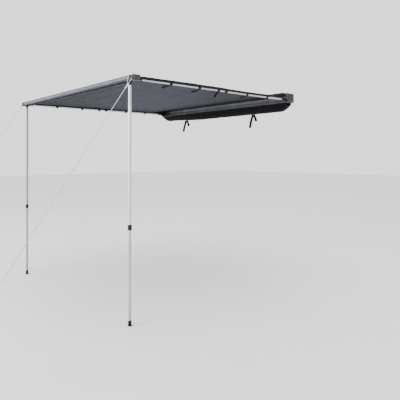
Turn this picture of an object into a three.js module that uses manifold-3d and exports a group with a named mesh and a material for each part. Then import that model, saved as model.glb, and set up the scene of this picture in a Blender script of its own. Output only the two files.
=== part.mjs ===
// Vehicle side awning, pulled out and standing on its two legs.
// Millimetres, +Z up. X runs along the vehicle, +Y points to the vehicle, -Y points outward.
// The origin lies midway between the two mounting brackets, in the plane of their seats,
// level with the back face of the rail.
import * as THREE from 'three';
import { mergeVertices } from 'three/addons/utils/BufferGeometryUtils.js';
import Module from 'manifold-3d';

const wasm = await Module();
wasm.setup();

// Set-out of the whole awning
const railLength = 2356;
const reach = 2270; // back of the rail to the face of the front bar
const standHeight = 2080; // bracket seats down to the ground
const armSlope = THREE.MathUtils.degToRad(0.96); // arms fall towards the front bar
const seatGap = 0.3; // between pieces that touch
const cutOverrun = 6; // how far a cutter runs past what it cuts
const roundSides = 20;
const smallSides = 12;

// Canopy cloth, its sewn welts and the grooves that hold them
const clothThickness = 1.6;
const canopyInset = 6; // edge of the canopy in from the end of the rail
const hemDrop = 21;
const canopySag = 18;
const canopyMidLift = 34; // sheet above the arm axis, halfway along the arms
const riseLength = 300; // the sheet climbs to the rail over this length
const canopyRows = 20;
const canopyColumns = 16;
const weltRadius = 3.5;
const weltGap = 0.4;
const grooveWall = 1.6;
const slotGap = 0.7;
const weltEndInset = 8;

// Rail on the vehicle
const railHeight = 98;
const railDepth = 75;
const railWall = 3;
const railLip = 9;
const railDrop = 28; // underside of the rail below the bracket seats

// Rail end caps
const capThickness = 21.7;
const capNose = 67; // how far a cap stands in front of the rail
const capCrown = 6; // and above it
const capChamfer = 20;
const capNoseLift = 34; // lowest point of the nose above the cap's underside

// Soft cover hanging under the rail
const coverThickness = 2.2;
const coverDepth = { near: 97, far: 73 }; // it sags more towards the near end
const coverSagShares = [-0.42, -0.13]; // of the rail's length, between which it deepens
const coverFrontOverhang = 20; // front lip in front of the rail
const coverEndRun = 125; // length over which the ends rise
const coverEndInset = 14;
const coverEndDepth = { near: 30, far: 8 }; // what is left of the depth at the tips
const coverSlices = 6;

// Webbing straps under the cover
const strapWidth = 25;
const strapThickness = 2;
const strapLongDrop = 162;
const strapLongShift = 58;
const strapShortDrop = 78;
const strapShortShift = 45;
const strapInset = { near: 553, far: 523 }; // in from the ends of the rail
const strapLine = 52; // behind the back of the rail, towards the front
const strapSpread = 3.2; // one strand in front of the other
const strapPatch = 16;
const strapRows = 6;
const bowShare = 0.65; // of a strand's shift that is straight

// Mounting brackets and their bolts
const bracketSpacing = 1400;
const bracketWidth = 60;
const bracketThickness = 6;
const bracketRise = 62;
const bracketTongue = 66;
const bracketSlotWidth = 9;
const bracketSlotLength = 30;
const boltRadius = 4;
const boltHeadRadius = 6.5;
const boltHeadHeight = 4;
const boltPitch = 34;
const boltEdge = 32; // bolts above the bracket's tongue

// Arms
const armInset = 28; // hinge in from the end of the rail
const armHingeHeight = 8; // hinge above the bracket seats
const armOuterRadius = 12.5;
const armInnerRadius = 10.5;
const armWall = 1.2;
const armRootRadius = 14.5;
const armRootLength = 160;
const armRootEdge = 3;
const armEyeRadius = 10;
const armEyeHeight = 14;
const armNeckLength = 18;
const armPlug = 6;
const armPinRadius = 4;
const armEarThickness = 4;
const armEarRadius = 12;
const armBracketBack = 4;
const armCollarRadius = 16;
const armCollarHeight = 42;
const armCollarFromTip = 1051;
const armOverlap = 72; // inner tube still held by the outer tube
const armTipWidth = 18;
const armTipThickness = 9;
const armTipEnd = 11; // tongue in front of the stud
const armTipNeck = 26;
const armTipPlug = 24;
const armTipMouth = 4.6; // radius of the notch that hooks on the stud
const armLaneGap = 1;
const laneBackGap = 7;

// Front bar
const barInset = 17; // end of the bar in from the arms' axes
const barHeight = 42;
const barWall = 2.2;
const barTop = -3; // top of the bar above the bracket seats
const barFaceStep = 1.2;
const barFaceStepHeight = 19;
const barEdge = 1.5;

// Front bar end blocks with the ears that take the arm tips
const endLength = 64;
const endProud = 1;
const endEdge = 5;
const endPlug = 22;
const studRadius = 4;
const studBehindBar = 21;
const studHeadRadius = 6;
const studHeadHeight = 2.2;
const earThickness = 4;
const earPlay = 0.8;
const earMargin = 9; // ear past the middle of the stud

// Legs
const legInset = 58; // leg pivot in from the end of the bar
const legOuterRadius = 13.5;
const legInnerRadius = 11.5;
const legWall = 1.2;
const legCollarRadius = 17;
const legCollarHeight = 46;
const legCollarHeightAboveGround = 820;
const legOverlap = 90;
const legLaneGap = 1;
const legSideGap = 0.6;
const legTopGap = 1;
const knuckleEyeRadius = 11;
const knuckleEyeWidth = 20;
const knuckleNeck = 24; // pivot to the shoulder on the tube
const knuckleShoulder = 24;
const knucklePlug = 25;
const legPinRadius = 4;
const legPinHeadRadius = 6.5;
const legPinHeadHeight = 2;
const footRadius = 16.5;
const footTopRadius = 14.2;
const footHeight = 45;
const footFloor = 8;

// Twist locks on legs and arms
const lockRibs = 12;
const lockRibDepth = 1;
const colletWall = 1.1;
const colletLength = 30;
const colletLip = 8;
const tubeInLock = 6; // outer tube past the middle of the collar
const lockFloor = 4;

// Hook and loop straps that tie the canopy's hem to the arms
const tiePlaceShares = [0.1894, 0.3427, 0.4555, 0.6463, 0.7965]; // of the reach, from the front bar
const tieWidth = 22;
const tieThickness = 1.5;
const tieLink = 9;
const tieTail = 88;
const tieTailDroop = 22;
const tieSides = 16;

// Guy ropes with their bridles, line runners and pegs
const ropeRadius = 2.5;
const ropeSides = 8;
const bridleSpread = 40;
const bridleTopDrop = 10;
const bridleBottomDrop = 36;
const bridleDrop = 80; // bar top down to the runner
const bridleOut = 26; // runner in front of the bar
const bridleBow = 0.3; // the bridle's dip over the runner
const runnerLength = 38;
const runnerWidth = 14;
const runnerThickness = 5;
const runnerHoleRadius = 3;
const ropeLean = THREE.MathUtils.degToRad(34.6);
const bridleSteps = 30;
const pegSteps = 14;
const pegEyeHeight = 118; // where the rope meets the peg, above the ground
const pegRadius = 3.5;
const pegLean = THREE.MathUtils.degToRad(38);
const pegHookRadius = 10;
// The bent head in hook radii: past the rope, then outward
const pegHookShares = [[1, 0], [1.8, 0.9], [1.5, 1.9], [0.5, 2.2]];
const pegTipGap = 1;

const materials = {
  silver: new THREE.MeshStandardMaterial({ color: 0xb9bdc2, roughness: 0.38, metalness: 0.9 }),
  railGrey: new THREE.MeshStandardMaterial({ color: 0x606164, roughness: 0.55, metalness: 0.6 }),
  steel: new THREE.MeshStandardMaterial({ color: 0x8b8f94, roughness: 0.4, metalness: 0.9 }),
  blackPlastic: new THREE.MeshStandardMaterial({ color: 0x14161a, roughness: 0.6, metalness: 0 }),
  greyPlastic: new THREE.MeshStandardMaterial({ color: 0x4a4d52, roughness: 0.6, metalness: 0 }),
  palePlastic: new THREE.MeshStandardMaterial({ color: 0xdcdee3, roughness: 0.6, metalness: 0 }),
  rubber: new THREE.MeshStandardMaterial({ color: 0x101113, roughness: 0.85, metalness: 0 }),
  cloth: new THREE.MeshStandardMaterial({ color: 0x4b4d57, roughness: 0.9, metalness: 0 }),
  cover: new THREE.MeshStandardMaterial({ color: 0x141416, roughness: 0.55, metalness: 0 }),
  webbing: new THREE.MeshStandardMaterial({ color: 0x0e0e10, roughness: 0.9, metalness: 0 }),
  rope: new THREE.MeshStandardMaterial({ color: 0xe6e9ee, roughness: 0.85, metalness: 0 }),
};
const sides = { near: 1, far: -1 };

// Geometry helpers

function facingOut(geometry) {
  const bare = geometry.clone();
  bare.deleteAttribute('normal');
  bare.deleteAttribute('uv');
  const merged = mergeVertices(bare);
  const at = merged.attributes.position;
  const index = merged.index.array;
  const kept = [];
  const [a, b, c] = [new THREE.Vector3(), new THREE.Vector3(), new THREE.Vector3()];
  let volume = 0;
  for (let i = 0; i < index.length; i += 3) {
    const corners = [index[i], index[i + 1], index[i + 2]];
    if (new Set(corners).size < 3) continue;
    a.fromBufferAttribute(at, corners[0]);
    b.fromBufferAttribute(at, corners[1]);
    c.fromBufferAttribute(at, corners[2]);
    volume += a.dot(b.cross(c));
    kept.push(...corners);
  }
  if (volume < 0) kept.reverse();
  merged.setIndex(kept);
  return merged;
}

function toSolid(geometry) {
  const closed = facingOut(geometry);
  return new wasm.Manifold(new wasm.Mesh({
    numProp: 3,
    vertProperties: Float32Array.from(closed.attributes.position.array),
    triVerts: Uint32Array.from(closed.index.array),
  }));
}

function toGeometry(solid) {
  const mesh = solid.getMesh();
  const geometry = new THREE.BufferGeometry();
  geometry.setAttribute('position', new THREE.BufferAttribute(mesh.vertProperties, 3));
  geometry.setIndex(Array.from(mesh.triVerts));
  return geometry;
}

function joined(...geometries) {
  return toGeometry(geometries.map(toSolid).reduce((all, next) => all.add(next)));
}

function cut(geometry, ...cutters) {
  return toGeometry(cutters.map(toSolid).reduce((rest, next) => rest.subtract(next), toSolid(geometry)));
}

function shapeOf(points, hole) {
  const shape = new THREE.Shape(points.map(([u, v]) => new THREE.Vector2(u, v)));
  if (hole) shape.holes.push(new THREE.Path(hole.map(([u, v]) => new THREE.Vector2(u, v))));
  return shape;
}

function prism(points, depth, hole) {
  return new THREE.ExtrudeGeometry(shapeOf(points, hole), { depth, bevelEnabled: false });
}

// An outline of [y, z] points, run along X
function alongX(points, from, to, hole) {
  const axes = new THREE.Matrix4().makeBasis(
    new THREE.Vector3(0, 1, 0), new THREE.Vector3(0, 0, 1), new THREE.Vector3(1, 0, 0));
  return prism(points, to - from, hole).applyMatrix4(axes).translate(from, 0, 0);
}

// An outline of [x, z] points, run along Y
function alongY(points, from, to, hole) {
  const axes = new THREE.Matrix4().makeBasis(
    new THREE.Vector3(1, 0, 0), new THREE.Vector3(0, 0, 1), new THREE.Vector3(0, -1, 0));
  return prism(points, to - from, hole).applyMatrix4(axes).translate(0, to, 0);
}

// An outline of [x, y] points, run along Z
function alongZ(points, from, to, hole) {
  return prism(points, to - from, hole).translate(0, 0, from);
}

function rectangle(u0, v0, u1, v1) {
  return [[u0, v0], [u1, v0], [u1, v1], [u0, v1]];
}

function circle(radius, count, u = 0, v = 0) {
  return Array.from({ length: count }, (_, i) => {
    const angle = (i / count) * Math.PI * 2;
    return [u + radius * Math.cos(angle), v + radius * Math.sin(angle)];
  });
}

// A closed profile of [radius, z] points, turned about Z
function turned(profile, count = roundSides) {
  const points = [...profile, profile[0]].map(([r, z]) => new THREE.Vector2(r, z));
  return new THREE.LatheGeometry(points, count).rotateX(Math.PI / 2);
}

function tube(outer, inner, from, to, count = roundSides) {
  return turned([[inner, from], [outer, from], [outer, to], [inner, to]], count);
}

function rod(radius, from, to, count = smallSides) {
  return turned([[0, from], [radius, from], [radius, to], [0, to]], count);
}

// A cord or bar of round section along a list of points
function roundAlong(points, radius, steps, count, straight = false) {
  const places = points.map((p) => new THREE.Vector3(...p));
  const path = straight ? new THREE.LineCurve3(places[0], places[1]) : new THREE.CatmullRomCurve3(places);
  return new THREE.ExtrudeGeometry(shapeOf(circle(radius, count)), { extrudePath: path, steps });
}

const awning = new THREE.Group();

function add(parent, name, geometry, material) {
  const mesh = new THREE.Mesh(facingOut(geometry), material);
  mesh.name = name;
  parent.add(mesh);
  return mesh;
}

// Places worked out from the sizes above

const canopyWidth = railLength - 2 * canopyInset;
const armSpacing = railLength - 2 * armInset;
const barLength = armSpacing - 2 * barInset;
const legSpacing = barLength - 2 * legInset;
const railUnder = -railDrop;
const railTop = railUnder + railHeight;
const grooveSize = 2 * (weltRadius + weltGap + grooveWall);
const slotHeight = clothThickness + 2 * slotGap;
const railGrooveHeight = railTop - grooveSize / 2;
const laneSpacing = armOuterRadius + armRootRadius + armLaneGap;
const armLane = { near: -railWall - laneBackGap - armCollarRadius - armLaneGap };
armLane.far = armLane.near - laneSpacing;
const legLaneSpacing = legCollarRadius + legOuterRadius + legLaneGap;
const barDepth = 2 * (barWall + legSideGap + legCollarRadius) + legLaneSpacing;
const barFront = -reach;
const barRear = barFront + barDepth;
const barUnder = barTop - barHeight;
const barGrooveHeight = barTop - grooveSize / 2;
const legPivotHeight = barTop - barWall - legTopGap - legCollarRadius;
const legLane = { near: barRear - barWall - legSideGap - legCollarRadius };
legLane.far = legLane.near - legLaneSpacing;
const legLength = legPivotHeight + standHeight;
const studLine = barRear + studBehindBar;

function armRun(side) {
  return armLane[side] - studLine;
}

function armHeightAt(y, side) {
  return armHingeHeight - (armLane[side] - y) * Math.tan(armSlope);
}

// Rail, an open channel with a groove along its top edge for the canopy's welt
function makeRail() {
  const front = -railDepth;
  const inFront = front + railWall;
  const groove = {
    front,
    mouth: front + grooveWall,
    back: front + grooveSize - grooveWall,
    rear: front + grooveSize,
  };
  const slotLow = railGrooveHeight - slotHeight / 2;
  const slotHigh = railGrooveHeight + slotHeight / 2;
  const grooveUnder = railTop - grooveSize;
  const outline = [
    [0, railUnder], [0, railTop], [groove.front, railTop], [groove.front, slotHigh],
    [groove.mouth, slotHigh], [groove.mouth, railTop - grooveWall], [groove.back, railTop - grooveWall],
    [groove.back, grooveUnder + grooveWall], [groove.mouth, grooveUnder + grooveWall],
    [groove.mouth, slotLow], [groove.front, slotLow], [groove.front, grooveUnder],
    [groove.rear, grooveUnder], [groove.rear, railTop - railWall], [-railWall, railTop - railWall],
    [-railWall, railUnder + railWall], [inFront, railUnder + railWall], [inFront, railUnder + railLip],
    [front, railUnder + railLip], [front, railUnder],
  ];
  const holes = Object.keys(sides).flatMap(boltPlaces).map(([x, z]) => alongY(
    circle(boltRadius + seatGap, smallSides, x, z), -railWall - cutOverrun, cutOverrun));
  return cut(alongX(outline, -railLength / 2, railLength / 2), ...holes);
}

function boltPlaces(side) {
  const x = sides[side] * bracketSpacing / 2;
  const z = bracketThickness + boltEdge;
  return [[x - boltPitch / 2, z], [x + boltPitch / 2, z]];
}

// L bracket that sits on a roof bar and is bolted to the back of the rail
function makeBracket(side) {
  const x = sides[side] * bracketSpacing / 2;
  const back = seatGap;
  const outline = [
    [back, 0], [back + bracketTongue, 0], [back + bracketTongue, bracketThickness],
    [back + bracketThickness, bracketThickness], [back + bracketThickness, bracketRise],
    [back, bracketRise],
  ];
  const slotMiddle = back + (bracketThickness + bracketTongue) / 2;
  const slotHalf = (bracketSlotLength - bracketSlotWidth) / 2;
  const slot = [];
  for (const [end, from] of [[1, 0], [-1, Math.PI]]) {
    for (let i = 0; i <= smallSides / 2; i += 1) {
      const angle = from + (i / (smallSides / 2)) * Math.PI;
      slot.push([
        x + (bracketSlotWidth / 2) * Math.cos(angle),
        slotMiddle + end * slotHalf + (bracketSlotWidth / 2) * Math.sin(angle),
      ]);
    }
  }
  const holes = boltPlaces(side).map(([at, z]) => alongY(
    circle(boltRadius + seatGap, smallSides, at, z), -cutOverrun, bracketThickness + cutOverrun));
  return cut(
    alongX(outline, x - bracketWidth / 2, x + bracketWidth / 2),
    alongZ(slot, -cutOverrun, bracketThickness + cutOverrun),
    ...holes,
  );
}

// Bolt with a round head inside the rail and a nut behind the bracket
function makeBracketBolt([x, z]) {
  const inside = -railWall - seatGap;
  const behind = bracketThickness + 2 * seatGap;
  return turned([
    [0, inside - boltHeadHeight], [boltHeadRadius, inside - boltHeadHeight],
    [boltHeadRadius, inside], [boltRadius, inside], [boltRadius, behind],
    [boltHeadRadius, behind], [boltHeadRadius, behind + boltHeadHeight], [0, behind + boltHeadHeight],
  ], smallSides).rotateX(-Math.PI / 2).translate(x, 0, z);
}

// Cap that closes an end of the rail, with a nose over the arm's hinge
function capOutline() {
  const nose = -railDepth - capNose;
  const top = railTop + capCrown;
  return [
    [0, railUnder], [0, top - capChamfer / 2], [-capChamfer / 2, top], [nose + capChamfer / 2, top],
    [nose, top - capChamfer / 2], [nose, railUnder + capNoseLift + capChamfer],
    [nose + capChamfer, railUnder + capNoseLift], [-railDepth, railUnder],
  ];
}

function makeRailCap(side) {
  const inner = railLength / 2 + seatGap;
  const cap = alongX(capOutline(), inner, inner + capThickness);
  return sides[side] > 0 ? cap : cap.scale(-1, 1, 1);
}

// Welt: a round cord sewn in the cloth's edge, with the cloth that leaves the groove
function makeWelt(grooveMiddle, height, out, length) {
  const half = length / 2 - weltEndInset;
  const lip = clothThickness / 2;
  const flat = Math.sqrt(weltRadius ** 2 - lip ** 2);
  const edge = out * (grooveSize / 2 + slotGap);
  const start = Math.asin(lip / weltRadius);
  const outline = [];
  for (let i = 0; i <= smallSides; i += 1) {
    const angle = start + (i / smallSides) * (Math.PI * 2 - 2 * start);
    outline.push([
      grooveMiddle + out * weltRadius * Math.cos(angle),
      height + weltRadius * Math.sin(angle),
    ]);
  }
  outline[0] = [grooveMiddle + out * flat, height + lip];
  outline[smallSides] = [grooveMiddle + out * flat, height - lip];
  outline.push([grooveMiddle + edge, height - lip], [grooveMiddle + edge, height + lip]);
  return alongX(outline, -half, half);
}

// Height of the stretched sheet's middle line above the arms, front to rear
function canopyHeight(y) {
  const front = canopyFrontEdge();
  const rear = canopyRearEdge();
  const rise = rear - riseLength;
  const middle = (front + rear) / 2;
  const lift = armHeightAt(middle, 'near') + canopyMidLift;
  const slope = (lift - barGrooveHeight) / (middle - front);
  const atRise = barGrooveHeight + slope * (rise - front);
  if (y <= rise) return barGrooveHeight + slope * (y - front);
  const t = (y - rise) / (rear - rise);
  const ease = t * t * (3 - 2 * t);
  return atRise + slope * riseLength * t * (1 - t) + (railGrooveHeight - atRise) * ease;
}

function canopyFrontEdge() {
  return barRear + grooveSize + slotGap + seatGap;
}

function canopyRearEdge() {
  return -railDepth - slotGap - seatGap;
}

// One row of the canopy or its hems at each share of the way from the front bar to the rail
function canopyStations(rowAt) {
  const front = canopyFrontEdge();
  const rear = canopyRearEdge();
  return Array.from({ length: canopyRows + 1 }, (_, row) => {
    const along = row / canopyRows;
    const y = front + (rear - front) * along;
    return rowAt(y, canopyHeight(y), along);
  });
}

// The canopy, one sheet that sags a little between its edges
function makeCanopy() {
  const half = canopyWidth / 2 - clothThickness - seatGap;
  const shares = Array.from({ length: canopyColumns + 1 }, (_, i) => -1 + (2 * i) / canopyColumns);
  return loft(canopyStations((y, height, along) => {
    const face = (lift) => shares.map((share) => [
      share * half, y, height + lift - canopySag * (1 - share ** 2) * Math.sin(Math.PI * along)]);
    return [...face(clothThickness / 2), ...face(-clothThickness / 2).reverse()];
  }));
}

// A closed solid through rows of matching points, with flat ends
function loft(rows) {
  const count = rows[0].length;
  const index = [];
  for (let row = 0; row + 1 < rows.length; row += 1) {
    for (let i = 0; i < count; i += 1) {
      const [a, b] = [row * count + i, row * count + ((i + 1) % count)];
      index.push(a, b, b + count, a, b + count, a + count);
    }
  }
  for (const row of [0, rows.length - 1]) {
    const flat = rows[row].map(([x, , z]) => new THREE.Vector2(x, z));
    const turnedOver = THREE.ShapeUtils.isClockWise(flat) !== (row === 0);
    for (const [a, b, c] of THREE.ShapeUtils.triangulateShape(flat, [])) {
      const first = row * count;
      index.push(...(turnedOver ? [c, b, a] : [a, b, c]).map((i) => i + first));
    }
  }
  const geometry = new THREE.BufferGeometry();
  geometry.setAttribute('position', new THREE.Float32BufferAttribute(rows.flat(2), 3));
  geometry.setIndex(index);
  return geometry;
}

// How deep the cover hangs at a place along the rail, but for its rising ends
function coverDepthAt(x) {
  const share = THREE.MathUtils.smoothstep(x / railLength, ...coverSagShares);
  return coverDepth.far + (coverDepth.near - coverDepth.far) * share;
}

// Soft cover: a trough that hangs from the rail, its ends rising like a boat's
function coverHull(wall, lift) {
  const top = railUnder - seatGap;
  const front = -railDepth - coverFrontOverhang + wall;
  const back = -railWall - wall;
  const middle = (front + back) / 2;
  const half = (back - front) / 2;
  const depthShares = [0, 0.5, 0.86, 1, 1, 0.86, 0.5, 0];
  const widthShares = [-1, -0.96, -0.8, -0.4, 0.4, 0.8, 0.96, 1];
  const end = railLength / 2 - coverEndInset - wall;
  const straight = end - coverEndRun;
  const shares = Array.from({ length: coverSlices }, (_, i) => i / (coverSlices - 1));
  const rising = (way) => shares.map((share) => [way * (straight + coverEndRun * share), share]);
  const sagging = shares.slice(1).map((share) => [-straight * (1 - share), 0]);
  const stations = [...rising(-1).reverse(), ...sagging, ...rising(1)];
  return loftAlongX(stations.map(([x, share]) => {
    const shallow = (x < 0 ? coverEndDepth.far : coverEndDepth.near) - wall;
    const deep = shallow + (coverDepthAt(x) - wall - shallow) * (1 - share * share);
    return widthShares.map((width, i) => [
      x, middle + half * width, top - deep * depthShares[i] + (depthShares[i] ? 0 : lift),
    ]);
  }));
}

function loftAlongX(rows) {
  const turnedRows = rows.map((row) => row.map(([x, y, z]) => [y, x, z]));
  const geometry = loft(turnedRows);
  const at = geometry.attributes.position;
  for (let i = 0; i < at.count; i += 1) {
    at.setXYZ(i, at.getY(i), at.getX(i), at.getZ(i));
  }
  return geometry;
}

function makeCover() {
  return cut(coverHull(0, 0), coverHull(coverThickness, cutOverrun));
}

// A hanging pair of webbing straps, one long and one short, sewn together at the top
function makeCoverStraps(side) {
  const x = sides[side] * (railLength / 2 - strapInset[side]);
  const deepest = Math.max(coverDepthAt(x - strapWidth / 2), coverDepthAt(x + strapWidth / 2));
  const top = railUnder - deepest - 2 * seatGap;
  const strands = [[strapLongDrop, -strapLongShift, 0], [strapShortDrop, strapShortShift, 1]];
  const webs = strands.map(([drop, shift, layer]) => {
    const left = [];
    const right = [];
    for (let i = 0; i <= strapRows; i += 1) {
      const share = i / strapRows;
      const bow = shift * (bowShare * share + (1 - bowShare) * Math.sin((share * Math.PI) / 2));
      left.push([x + bow - strapWidth / 2, top - drop * share]);
      right.push([x + bow + strapWidth / 2, top - drop * share]);
    }
    const y = -strapLine + layer * strapSpread;
    return alongY([...left, ...right.reverse()], y, y + strapThickness);
  });
  const patch = alongY(
    rectangle(x - strapWidth / 2, top - strapPatch, x + strapWidth / 2, top),
    -strapLine, -strapLine + strapSpread + strapThickness);
  return joined(...webs, patch);
}

// Arm pieces, built along +Z from the hinge and laid down towards the front bar

const layOut = new THREE.Matrix4().makeRotationX(Math.PI / 2);

function armGroup(side) {
  const group = new THREE.Group();
  group.position.set(sides[side] * armSpacing / 2, armLane[side], armHingeHeight);
  group.rotation.x = armSlope;
  awning.add(group);
  return group;
}

// Clevis on the back of the rail
function makeArmBracket(side) {
  const depth = -armLane[side] - railWall;
  const back = depth - 2 * seatGap;
  const half = armEyeHeight / 2 + seatGap;
  const ear = (from) => joined(
    alongZ(rectangle(-armEarRadius, 0, armEarRadius, back), from, from + armEarThickness),
    rod(armEarRadius, from, from + armEarThickness, roundSides),
  );
  const plate = alongZ(
    rectangle(-armEarRadius, back - armBracketBack, armEarRadius, back),
    -half - armEarThickness, half + armEarThickness);
  return cut(
    joined(ear(half), ear(-half - armEarThickness), plate),
    rod(armPinRadius + seatGap, -half - armEarThickness - cutOverrun, half + armEarThickness + cutOverrun),
  );
}

function makeArmPin() {
  const half = armEyeHeight / 2 + seatGap + armEarThickness;
  const head = half + seatGap;
  return turned([
    [0, -head - studHeadHeight], [studHeadRadius, -head - studHeadHeight], [studHeadRadius, -head],
    [armPinRadius, -head], [armPinRadius, head], [studHeadRadius, head],
    [studHeadRadius, head + studHeadHeight], [0, head + studHeadHeight],
  ]);
}

// Moulded root of an arm: eye, neck and the sleeve over the outer tube
function makeArmRoot() {
  const floor = armNeckLength + armPlug;
  const sleeve = turned([
    [0, armNeckLength], [armRootRadius - armRootEdge, armNeckLength],
    [armRootRadius, armNeckLength + armRootEdge], [armRootRadius, armRootLength],
    [armOuterRadius + seatGap, armRootLength], [armOuterRadius + seatGap, floor], [0, floor],
  ]).applyMatrix4(layOut);
  const neck = alongZ(
    rectangle(-armEyeRadius, -armNeckLength - armPlug / 2, armEyeRadius, 0),
    -armEyeHeight / 2, armEyeHeight / 2);
  const eye = rod(armEyeRadius, -armEyeHeight / 2, armEyeHeight / 2, roundSides);
  return cut(
    joined(sleeve, neck, eye),
    rod(armPinRadius + seatGap, -armEyeHeight / 2 - cutOverrun, armEyeHeight / 2 + cutOverrun),
  );
}

function armLengths(side) {
  const length = armRun(side) / Math.cos(armSlope);
  const collarMiddle = length - armCollarFromTip;
  const outerStart = armNeckLength + armPlug + seatGap;
  const outerEnd = collarMiddle + tubeInLock;
  return { length, collarMiddle, outerStart, outerEnd, innerStart: outerEnd - armOverlap };
}

// Split collet on the end of an outer tube
function makeCollet(outer, inner, end) {
  const wide = outer + seatGap + colletWall;
  return turned([
    [outer + seatGap, end - colletLength + colletLip], [wide, end - colletLength + colletLip],
    [wide, end + colletLip], [inner + seatGap, end + colletLip], [inner + seatGap, end + seatGap],
    [outer + seatGap, end + seatGap],
  ]);
}

// Ribbed collar that turns on the collet and clamps the inner tube
function makeLock(radius, outer, inner, middle, height) {
  const bore = outer + 2 * seatGap + colletWall;
  const low = middle - height / 2;
  const high = middle + height / 2;
  const ribs = Array.from({ length: lockRibs * 2 }, (_, i) => {
    const angle = (i / (lockRibs * 2)) * Math.PI * 2;
    const r = i % 2 ? radius - lockRibDepth : radius;
    return [r * Math.cos(angle), r * Math.sin(angle)];
  });
  return joined(
    alongZ(ribs, low, high - lockFloor, circle(bore, roundSides)),
    alongZ(circle(radius - lockRibDepth, roundSides), high - lockFloor, high, circle(inner + seatGap, roundSides)),
  );
}

// Moulded tip of an arm: a flat tongue with a notch that opens outboard over the stud
function makeArmTip(length, way) {
  const half = armTipWidth / 2;
  const mouth = [];
  const arc = smallSides / 2;
  for (let i = 0; i <= arc; i += 1) {
    const angle = -Math.PI / 2 - (i / arc) * Math.PI;
    mouth.push([armTipMouth * Math.cos(angle), armTipMouth * Math.sin(angle)]);
  }
  const outline = [
    [-half, -armTipEnd + armTipMouth], [-half, armTipNeck], [half, armTipNeck], [half, armTipMouth],
    ...mouth.reverse(), [half, -armTipMouth], [half, -armTipEnd + armTipMouth / 2],
    [half - armTipMouth / 2, -armTipEnd], [-half + armTipMouth, -armTipEnd],
  ].map(([x, y]) => [way * x, y]);
  const tongue = alongZ(outline, -armTipThickness / 2, armTipThickness / 2).translate(0, -length, 0);
  const plugRadius = armInnerRadius - armWall - seatGap;
  const shoulder = length - armTipNeck;
  const plug = turned([
    [0, shoulder - armTipPlug], [plugRadius, shoulder - armTipPlug], [plugRadius, shoulder - seatGap],
    [armInnerRadius, shoulder - seatGap], [armInnerRadius, shoulder + armTipMouth],
    [armTipThickness / 2, shoulder + 2 * armTipMouth], [0, shoulder + 2 * armTipMouth],
  ]).applyMatrix4(layOut);
  return joined(tongue, plug);
}

for (const side of Object.keys(sides)) {
  const group = armGroup(side);
  const { length, collarMiddle, outerStart, outerEnd, innerStart } = armLengths(side);
  const innerEnd = length - armTipNeck - 2 * seatGap;
  const laid = (geometry) => geometry.applyMatrix4(layOut);
  add(group, `arm_bracket_${side}`, makeArmBracket(side), materials.steel);
  add(group, `arm_hinge_pin_${side}`, makeArmPin(), materials.steel);
  add(group, `arm_root_${side}`, makeArmRoot(), materials.blackPlastic);
  add(group, `arm_outer_tube_${side}`,
    laid(tube(armOuterRadius, armOuterRadius - armWall, outerStart, outerEnd)), materials.silver);
  add(group, `arm_collet_${side}`,
    laid(makeCollet(armOuterRadius, armInnerRadius, outerEnd)), materials.greyPlastic);
  add(group, `arm_lock_${side}`,
    laid(makeLock(armCollarRadius, armOuterRadius, armInnerRadius, collarMiddle, armCollarHeight)),
    materials.blackPlastic);
  add(group, `arm_inner_tube_${side}`,
    laid(tube(armInnerRadius, armInnerRadius - armWall, innerStart, innerEnd)), materials.silver);
  add(group, `arm_tip_${side}`, makeArmTip(length, sides[side]), materials.blackPlastic);
}

// Front bar, an inverted channel that the legs fold into, with a groove for the front welt
function makeFrontBar() {
  const rear = barDepth;
  const groove = {
    front: rear + grooveWall,
    mouth: rear + grooveSize - grooveWall,
    rear: rear + grooveSize,
  };
  const slotLow = barGrooveHeight - slotHeight / 2;
  const slotHigh = barGrooveHeight + slotHeight / 2;
  const grooveUnder = barTop - grooveSize;
  const step = barUnder + barFaceStepHeight;
  const outline = [
    [0, barUnder], [0, step], [barFaceStep, step + barFaceStep], [barFaceStep, barTop - barEdge],
    [barFaceStep + barEdge, barTop], [groove.rear, barTop], [groove.rear, slotHigh],
    [groove.mouth, slotHigh], [groove.mouth, barTop - grooveWall], [groove.front, barTop - grooveWall],
    [groove.front, grooveUnder + grooveWall], [groove.mouth, grooveUnder + grooveWall],
    [groove.mouth, slotLow], [groove.rear, slotLow], [groove.rear, grooveUnder], [rear, grooveUnder],
    [rear, barUnder], [rear - barWall, barUnder], [rear - barWall, barTop - barWall],
    [barWall, barTop - barWall], [barWall, barUnder],
  ].map(([y, z]) => [y + barFront, z]);
  const holes = Object.values(sides).map((side) => alongY(
    circle(legPinRadius + seatGap, smallSides, side * legSpacing / 2, legPivotHeight),
    barFront - cutOverrun, barRear + cutOverrun));
  return cut(alongX(outline, -barLength / 2, barLength / 2), ...holes);
}

// Moulded end of the front bar, with a plug in the channel and two ears behind
function makeBarEnd(side) {
  const inner = barLength / 2 + seatGap;
  const outer = inner + endLength;
  const [front, rear] = [barFront - endProud, barRear + endProud];
  const [under, top] = [barUnder - endProud, barTop + endProud];
  const outline = [
    [front, under + endEdge], [front, top - endEdge], [front + endEdge, top], [rear, top],
    [rear, under], [front + endEdge, under],
  ];
  const block = alongX(outline, inner, outer);
  const gap = barWall + seatGap;
  const plug = alongX(
    rectangle(barFront + gap, barUnder + barWall, barRear - gap, barTop - gap),
    inner - endPlug, inner + endEdge);
  const height = armHeightAt(studLine, side);
  const stud = armSpacing / 2;
  const half = armTipThickness / 2 + earPlay;
  const ear = (from) => joined(
    alongZ(rectangle(stud - earMargin, rear - endEdge, stud + earMargin, studLine), from, from + earThickness),
    rod(earMargin, from, from + earThickness, roundSides).translate(stud, studLine, 0),
  );
  const end = cut(
    joined(block, plug, ear(height + half), ear(height - half - earThickness)),
    rod(studRadius + seatGap, height - half - earThickness - cutOverrun, height + half + earThickness + cutOverrun)
      .translate(stud, studLine, 0),
  );
  return sides[side] > 0 ? end : end.scale(-1, 1, 1);
}

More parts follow.
